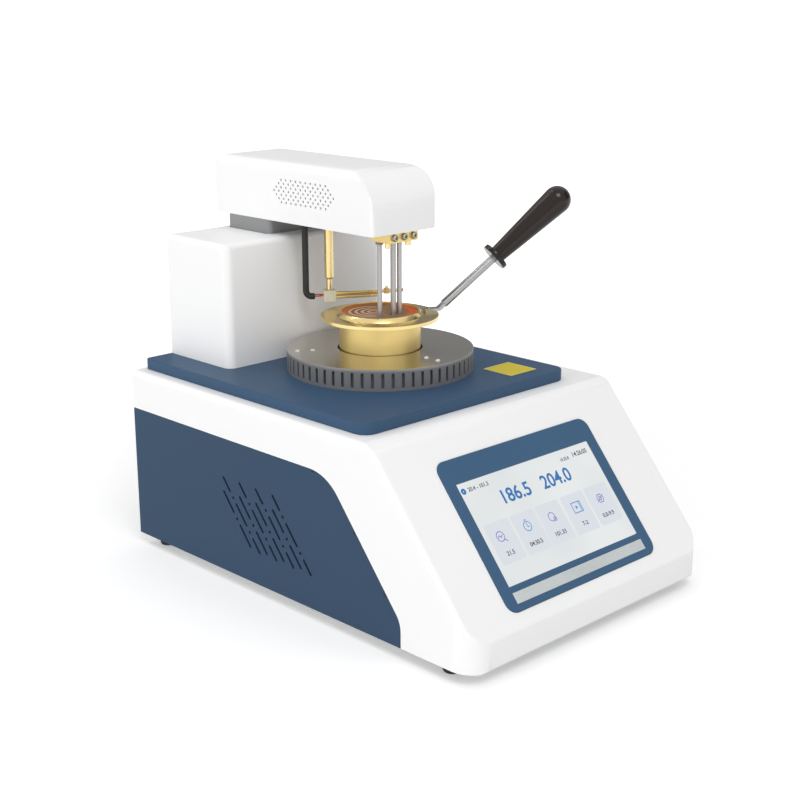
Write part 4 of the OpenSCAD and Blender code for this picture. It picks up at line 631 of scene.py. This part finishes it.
def addFigures(bm, text, x, s, height, index):
    # numerals set from Blender's own font
    curve = bpy.data.curves.new("figures", "FONT")
    curve.body = text
    curve.align_x, curve.align_y = "CENTER", "CENTER"
    curve.size = height
    curve.extrude = screenSettings["figureRaise"]
    curve.offset = height * screenSettings["figureBold"]
    holder = bpy.data.objects.new("figures", curve)
    bpy.context.scene.collection.objects.link(holder)
    bpy.context.view_layer.update()
    mesh = bpy.data.meshes.new_from_object(holder)
    mesh.transform(slopeMatrix(x, s, screenSettings["barLift"]))
    for polygon in mesh.polygons:
        polygon.material_index = index
    bm.from_mesh(mesh)
    bpy.data.objects.remove(holder)
    bpy.data.meshes.remove(mesh)


def makeScreenPicture():
    s = screenSettings
    bm = bmesh.new()
    for k, (inkName, rings, bars) in enumerate(screenIcons):
        x, y, ink = s["iconX"][k], s["iconY"], s["inks"][inkName]
        addPlate(bm, s["tileX"][k], s["tileY"], s["tileWidth"], s["tileHeight"], s["tileRadius"], 0.0,
                 s["inks"]["tileLight"])
        for dx, dy, radius, line, lift, sides, turn in rings:
            addRing(bm, x + dx, y + dy, radius, line, lift, ink, sides, turn)
        for dx, dy, width, height, corner, turn in bars:
            addPlate(bm, x + dx, y + dy, width, height, corner, s["barLift"], ink, turn=turn)
        addFigures(bm, s["captions"][k], s["tileX"][k], s["captionY"], s["captionSize"], s["inks"]["inkDark"])
    for text, x, y, height, ink in s["figures"]:
        addFigures(bm, text, x, y, height, s["inks"][ink])
    addRing(bm, *s["badge"], s["inks"]["inkBlue"])
    inks = [tileLight, inkBlue, inkCyan, inkViolet, inkDark]
    finishPiece("screenPicture", bm, inks, "base", hard=False)


makeScreenPicture()
print("screen picture made")


# Sample in the cup

def makeSample():
    s = sampleSettings
    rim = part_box("test_cup")[1].z
    bm = bmesh.new()
    made = bmesh.ops.create_circle(bm, cap_ends=True, segments=s["steps"], radius=s["radius"],
                                   matrix=Matrix.Translation((cupFoot.x, cupFoot.y, rim - s["depth"])))
    face = made["verts"][0].link_faces[0]
    for thickness, drop in s["meniscus"]:
        bmesh.ops.inset_region(bm, faces=[face], thickness=thickness, depth=-drop, use_boundary=True)
    outer = [e for e in bm.edges if e.is_boundary]
    wall = bmesh.ops.extrude_edge_only(bm, edges=outer)
    low = [g for g in wall["geom"] if isinstance(g, bmesh.types.BMVert)]
    bmesh.ops.translate(bm, vec=(0, 0, -s["thickness"]), verts=low)
    bmesh.ops.contextual_create(bm, geom=[g for g in wall["geom"] if isinstance(g, bmesh.types.BMEdge)])
    bmesh.ops.recalc_face_normals(bm, faces=bm.faces)
    finishPiece("sampleSurface", bm, sampleOil, "cup", hard=False, sharp=60)


makeSample()


# Small parts of the body: border of the blank plate, band of painted shade in the ring, sheets of painted shade behind
# the vents, blocks of painted shade in the panel notches

borderSettings = {"width": 0.7 * millimetre, "lift": 0.03 * millimetre, "thickness": 0.08 * millimetre}


def makeBlankBorder():
    s = borderSettings
    low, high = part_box("blank_plate")
    bm = bmesh.new()
    size = high - low
    made = bmesh.ops.create_grid(bm, x_segments=1, y_segments=1, size=0.5, matrix=Matrix.Translation(
        ((low.x + high.x) / 2, (low.y + high.y) / 2, high.z + s["lift"])) @ Matrix.Diagonal((size.x, size.y, 1, 1)))
    face = made["verts"][0].link_faces[0]
    bmesh.ops.inset_region(bm, faces=[face], thickness=s["width"], use_boundary=True)
    bmesh.ops.delete(bm, geom=[face], context="FACES_ONLY")
    bmesh.ops.solidify(bm, geom=list(bm.faces), thickness=s["thickness"])
    bmesh.ops.recalc_face_normals(bm, faces=bm.faces)
    finishPiece("blankBorder", bm, yellowEdge, "base", hard=False)


ventShadeSettings = {
    "inward": 5.2 * millimetre, "middleY": -20.0 * millimetre, "middleZ": 62.0 * millimetre, "cuts": 6,
    "size": (0.0014, 0.20, 0.078), "edge": 0.4 * millimetre,
}


def makeVentShadeSheets():
    # dark sheet inside each vent field: painted shade behind the vents
    s = ventShadeSettings
    for name, node, side in (("ventShadeSheetLeft", "side_panel_left", 1), ("ventShadeSheetRight", "side_panel_right", -1)):
        low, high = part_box(node)
        x = (high.x if side == 1 else low.x) + side * s["inward"]
        bm = bmesh.new()
        bmesh.ops.create_cube(bm, size=1.0, matrix=Matrix.Translation((x, s["middleY"], s["middleZ"]))
                              @ Matrix.Diagonal((*s["size"], 1)))
        bmesh.ops.subdivide_edges(bm, edges=bm.edges, cuts=s["cuts"], use_grid_fill=True)
        bmesh.ops.bevel(bm, geom=[e for e in bm.edges if e.calc_face_angle(0) > 1], offset=s["edge"], segments=2,
                        profile=0.5, affect="EDGES", material=-1)
        finishPiece(name, bm, ventShadeSheet, "base", hard=False)


ringSlotShadeSettings = {"radius": 75.0 * millimetre, "wall": 0.3 * millimetre, "gap": 0.3 * millimetre, "steps": 120}


def makeRingSlotShade():
    # grey band close behind the slots of the heater's ring: painted shade seen through the slots
    s = ringSlotShadeSettings
    low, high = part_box("heater_ring")
    bm = bmesh.new()
    bmesh.ops.create_circle(bm, cap_ends=False, segments=s["steps"], radius=s["radius"],
                            matrix=Matrix.Translation((cupFoot.x, cupFoot.y, low.z + s["gap"])))
    band = bmesh.ops.extrude_edge_only(bm, edges=list(bm.edges))
    raised = [g for g in band["geom"] if isinstance(g, bmesh.types.BMVert)]
    bmesh.ops.translate(bm, vec=(0, 0, high.z - low.z - 2 * s["gap"]), verts=raised)
    bmesh.ops.solidify(bm, geom=list(bm.faces), thickness=s["wall"])
    bmesh.ops.recalc_face_normals(bm, faces=bm.faces)
    finishPiece("ringLiner", bm, ringSlotShade, bodyOf["heater_ring"], hard=False)


notchShadeSettings = {
    "length": 2.9, "height": 1.5, "depth": 4.0, "sunk": 0.25, "edge": 0.15,     # millimetres
    "slopeHeights": (38.3, 77.0), "frontHeight": 19.8, "topPlace": 93.8,        # along the panel's outline
}


def makeNotchShades():
    # black blocks, seen in the three notches of each side panel: painted shade in the notches
    s = notchShadeSettings
    slope = math.radians(screenSettings["slope"])
    for name, node, side in (("notchShadesLeft", "side_panel_left", -1), ("notchShadesRight", "side_panel_right", 1)):
        low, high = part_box(node)
        outer = (low if side == -1 else high).x
        places = [(low.y + (z - s["frontHeight"]) / math.tan(slope) * millimetre, low.z + z * millimetre, slope)
                  for z in s["slopeHeights"]] + [(low.y + s["topPlace"] * millimetre, high.z, 0.0)]
        bm = bmesh.new()
        for y, z, lean in places:
            middle = Vector((outer - side * (s["sunk"] + s["depth"] / 2) * millimetre, y, z))
            matrix = Matrix.Translation(middle) @ Matrix.Rotation(lean, 4, "X") @ Matrix.Translation(
                (0, 0, -(s["height"] / 2 - s["edge"]) * millimetre)) @ Matrix.Diagonal(
                    (s["depth"] * millimetre, s["length"] * millimetre, s["height"] * millimetre, 1))
            bmesh.ops.create_cube(bm, size=1.0, matrix=matrix)
        bmesh.ops.bevel(bm, geom=list(bm.edges), offset=s["edge"] * millimetre, segments=2, profile=0.5,
                        affect="EDGES", material=-1)
        finishPiece(name, bm, blackPlastic, "base", hard=False)


makeBlankBorder()
makeRingSlotShade()
makeVentShadeSheets()
makeNotchShades()
print("small parts made")


# Igniter: wound wire and its leads

igniterSettings = {
    "turns": 4, "turnSteps": 14, "coilRadius": 0.6 * millimetre, "wireRadius": 0.3 * millimetre, "wireSides": 8,
    "coilOut": 0.4 * millimetre, "endInset": 0.4 * millimetre, "rootIn": 2.2 * millimetre,
    "leadRadius": 0.55 * millimetre, "leadSides": 10, "leadSteps": 8, "leadSag": 1.3 * millimetre,
    "leadStart": 15.8 * millimetre, "leadLength": 10.8 * millimetre,
    "leads": ((-1.2, 0.9, -0.5, 0), (1.1, 0.5, 0.6, 0), (0.0, -1.2, 0.6, 1)),   # sideways, lift, sag, material
    "spread": (0.35, 0.65), "spreadPart": (0.1, 0.9),      # how the leads part on their way
}


def sweepTube(bm, points, radius, sides):
    # a round wire along points, made by turning a circle into each step
    rings = []
    for k, point in enumerate(points):
        before, after = points[max(k - 1, 0)], points[min(k + 1, len(points) - 1)]
        aim = (after - before).normalized().to_track_quat("Z", "Y").to_matrix().to_4x4()
        made = bmesh.ops.create_circle(bm, cap_ends=False, segments=sides, radius=radius,
                                       matrix=Matrix.Translation(point) @ aim)
        rings.append(made["verts"])
    for first, second in zip(rings, rings[1:]):
        edges = [e for ring in (first, second) for v in ring for e in v.link_edges if all(w in ring for w in e.verts)]
        bmesh.ops.bridge_loops(bm, edges=list(dict.fromkeys(edges)))
    for ring in (rings[0], rings[-1]):
        bmesh.ops.contextual_create(bm, geom=ring)
    bmesh.ops.recalc_face_normals(bm, faces=bm.faces)


def makeIgniterCoil(outward):
    # wound wire beside the arm's end, with a straight leg from each tube
    s = igniterSettings
    low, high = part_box("igniter_coil")
    centre = (low + high) / 2 + outward * s["coilOut"]
    bm = bmesh.new()
    span = (high.z - low.z) - 2 * s["wireRadius"]
    steps = s["turns"] * s["turnSteps"]
    points = []
    for k in range(steps + 1):
        angle = 2 * math.pi * s["turns"] * k / steps
        points.append(Vector((centre.x + s["coilRadius"] * math.cos(angle),
                              centre.y + s["coilRadius"] * math.sin(angle),
                              low.z + s["wireRadius"] + span * k / steps)))
    sweepTube(bm, points, s["wireRadius"], s["wireSides"])
    armEnd = sum(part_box("igniter_tube_upper"), Vector()) / 2
    for height in (low.z + s["endInset"], high.z - s["endInset"]):
        tip = Vector((centre.x, centre.y, height)) - outward * s["coilRadius"]
        root = Vector((centre.x, centre.y, armEnd.z)) - outward * s["rootIn"]
        sweepTube(bm, [root, root.lerp(tip, 0.5), tip], s["wireRadius"], s["wireSides"])
    finishPiece("igniterCoil", bm, paintedGlowWire, "igniter", ["igniter_coil"], hard=False)


def makeIgniterLeads(block, outward):
    # sagging leads from the sleeve to the block
    s = igniterSettings
    low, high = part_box("igniter_leads")
    start = Vector((block.x, block.y, (low.z + high.z) / 2)) - outward * s["leadStart"]
    end = start + outward * s["leadLength"]
    sideways = Vector((-outward.y, outward.x, 0))
    bm = bmesh.new()
    for shift, lift, sag, index in s["leads"]:
        mark = len(bm.faces)
        path = []
        for k in range(s["leadSteps"] + 1):
            t = k / s["leadSteps"]
            bow = math.sin(math.pi * t) * s["leadSag"] * sag
            part = min(s["spreadPart"][0] + t * s["spreadPart"][1], 1)
            spread = s["spread"][0] + s["spread"][1] * math.sin(math.pi * part / 2)
            path.append(start.lerp(end, t) + sideways * shift * millimetre * spread
                        + Vector((0, 0, lift * millimetre * spread + bow)))
        sweepTube(bm, path, s["leadRadius"], s["leadSides"])
        bm.faces.ensure_lookup_table()
        for face in bm.faces[mark:]:
            face.material_index = index
    finishPiece("igniterLeads", bm, [leadRed, leadPale], "igniter", ["igniter_leads"], hard=False)


def makeIgniterWires():
    block = sum(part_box("igniter_block"), Vector()) / 2
    aim = sum(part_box("igniter_coil"), Vector()) / 2 - block
    outward = Vector((aim.x, aim.y, 0)).normalized()
    makeIgniterCoil(outward)
    makeIgniterLeads(block, outward)


makeIgniterWires()
print("igniter wires made")


# Studio

studioSettings = {
    "worldLight": 0.70,
    "keyPlace": (-2.2, 0.0, 0.45), "keySize": 1.1, "keyPower": 12.4,
    "frontPlace": (-0.95, -1.5, 2.3), "frontSize": 1.3, "frontPower": 24.0,
    "stripPlace": (-0.47, 1.14, 2.05), "stripSize": (0.05, 1.0), "stripPower": 2.5,
    "aim": (0, 0, 0.15),
    "floorWhite": 0.80, "floorRough": 0.7, "floorLift": 0.28, "floorFarLift": 0.62,
    "floorNear": 0.45, "floorFar": 1.0, "floorSide": 120.0,
    "cardPaint": (0.02, 0.02, 0.02, 1),
    "cards": (((1.9, 1.9, 1.25), (3.4, 1.5), 0.16), ((1.56, -0.90, 1.26), (2.0, 1.6), 0.25)),
}


def makeLamp(name, place, size, power):
    data = bpy.data.lights.new(name, "AREA")
    data.shape = "RECTANGLE"
    data.size, data.size_y = size
    data.energy = power
    lamp = bpy.data.objects.new(name, data)
    lamp.location = place
    lamp.rotation_euler = (Vector(studioSettings["aim"]) - Vector(place)).to_track_quat("-Z", "Y").to_euler()
    bpy.context.scene.collection.objects.link(lamp)
    return lamp


def makeStageSheet(name, matrix, material):
    # a flat sheet of the studio: the floor, or a grey card outside the picture
    bm = bmesh.new()
    bmesh.ops.create_grid(bm, x_segments=4, y_segments=4, size=0.5, matrix=matrix)
    mesh = bpy.data.meshes.new(name)
    bm.to_mesh(mesh)
    bm.free()
    mesh.materials.append(material)
    sheet = bpy.data.objects.new(name, mesh)
    bpy.context.scene.collection.objects.link(sheet)
    return sheet


def makeGreyCard(name, place, size, tone):
    # polished faces that look away from the camera reflect this card and not the white ground
    material = bpy.data.materials.new(name)
    material.use_nodes = True
    shader = material.node_tree.nodes["Principled BSDF"]
    shader.inputs["Base Color"].default_value = studioSettings["cardPaint"]
    shader.inputs["Emission Color"].default_value = (1, 1, 1, 1)
    shader.inputs["Emission Strength"].default_value = tone
    place = Vector(place)
    facing = (Vector((0, 0, place.z)) - place).to_track_quat("Z", "Y").to_matrix().to_4x4()
    card = makeStageSheet(name, Matrix.Translation(place) @ facing @ Matrix.Diagonal((*size, 1, 1)), material)
    card.visible_camera = False
    card.visible_diffuse = False
    card.visible_shadow = False


def seenRays(tree):
    # one for the camera's and the polished faces' rays, none for those that only carry light
    rays = addNode(tree, "ShaderNodeLightPath")
    return addNode(tree, "ShaderNodeMath", {0: rays.outputs["Is Camera Ray"], 1: rays.outputs["Is Glossy Ray"]},
                   operation="MAXIMUM").outputs["Value"]


def makeGround():
    # white all round, but lighting the part at its own level
    world = bpy.data.worlds.new("studio")
    bpy.context.scene.world = world
    world.use_nodes = True
    tree = world.node_tree
    back = tree.nodes["Background"]
    back.inputs["Color"].default_value = (1, 1, 1, 1)
    level = addNode(tree, "ShaderNodeMapRange", {"Value": seenRays(tree), "To Min": studioSettings["worldLight"],
                                                  "To Max": 1.0})
    tree.links.new(level.outputs["Result"], back.inputs["Strength"])


def makeFloor():
    # white floor that takes a soft shadow near the part and fades into the ground
    s = studioSettings
    material = bpy.data.materials.new("paleFloor")
    material.use_nodes = True
    tree = material.node_tree
    shader = tree.nodes["Principled BSDF"]
    shader.inputs["Base Color"].default_value = (s["floorWhite"], s["floorWhite"], s["floorWhite"], 1)
    shader.inputs["Roughness"].default_value = s["floorRough"]
    place = addNode(tree, "ShaderNodeTexCoord").outputs["Object"]
    far = addNode(tree, "ShaderNodeVectorMath", {0: place}, operation="LENGTH")
    glow = addNode(tree, "ShaderNodeMapRange", {
        "Value": far.outputs["Value"], "From Min": s["floorNear"], "From Max": s["floorFar"],
        "To Min": s["floorLift"], "To Max": s["floorFarLift"]})
    lift = addNode(tree, "ShaderNodeMath", {0: seenRays(tree), 1: glow.outputs["Result"]}, operation="MULTIPLY")
    shader.inputs["Emission Color"].default_value = (1, 1, 1, 1)
    tree.links.new(lift.outputs["Value"], shader.inputs["Emission Strength"])
    makeStageSheet("benchFloor", Matrix.Scale(s["floorSide"], 4), material)


def makeStudio():
    s = studioSettings
    keyLamp = makeLamp("keyLamp", s["keyPlace"], (s["keySize"], s["keySize"]), s["keyPower"])
    keyLamp.visible_glossy = False
    makeLamp("frontLamp", s["frontPlace"], (s["frontSize"], s["frontSize"]), s["frontPower"])
    makeLamp("stripLamp", s["stripPlace"], s["stripSize"], s["stripPower"])
    for name, (place, size, tone) in zip(("greyCardBack", "greyCardRight"), s["cards"]):
        makeGreyCard(name, place, size, tone)
    makeGround()
    makeFloor()


makeStudio()
print("studio made")
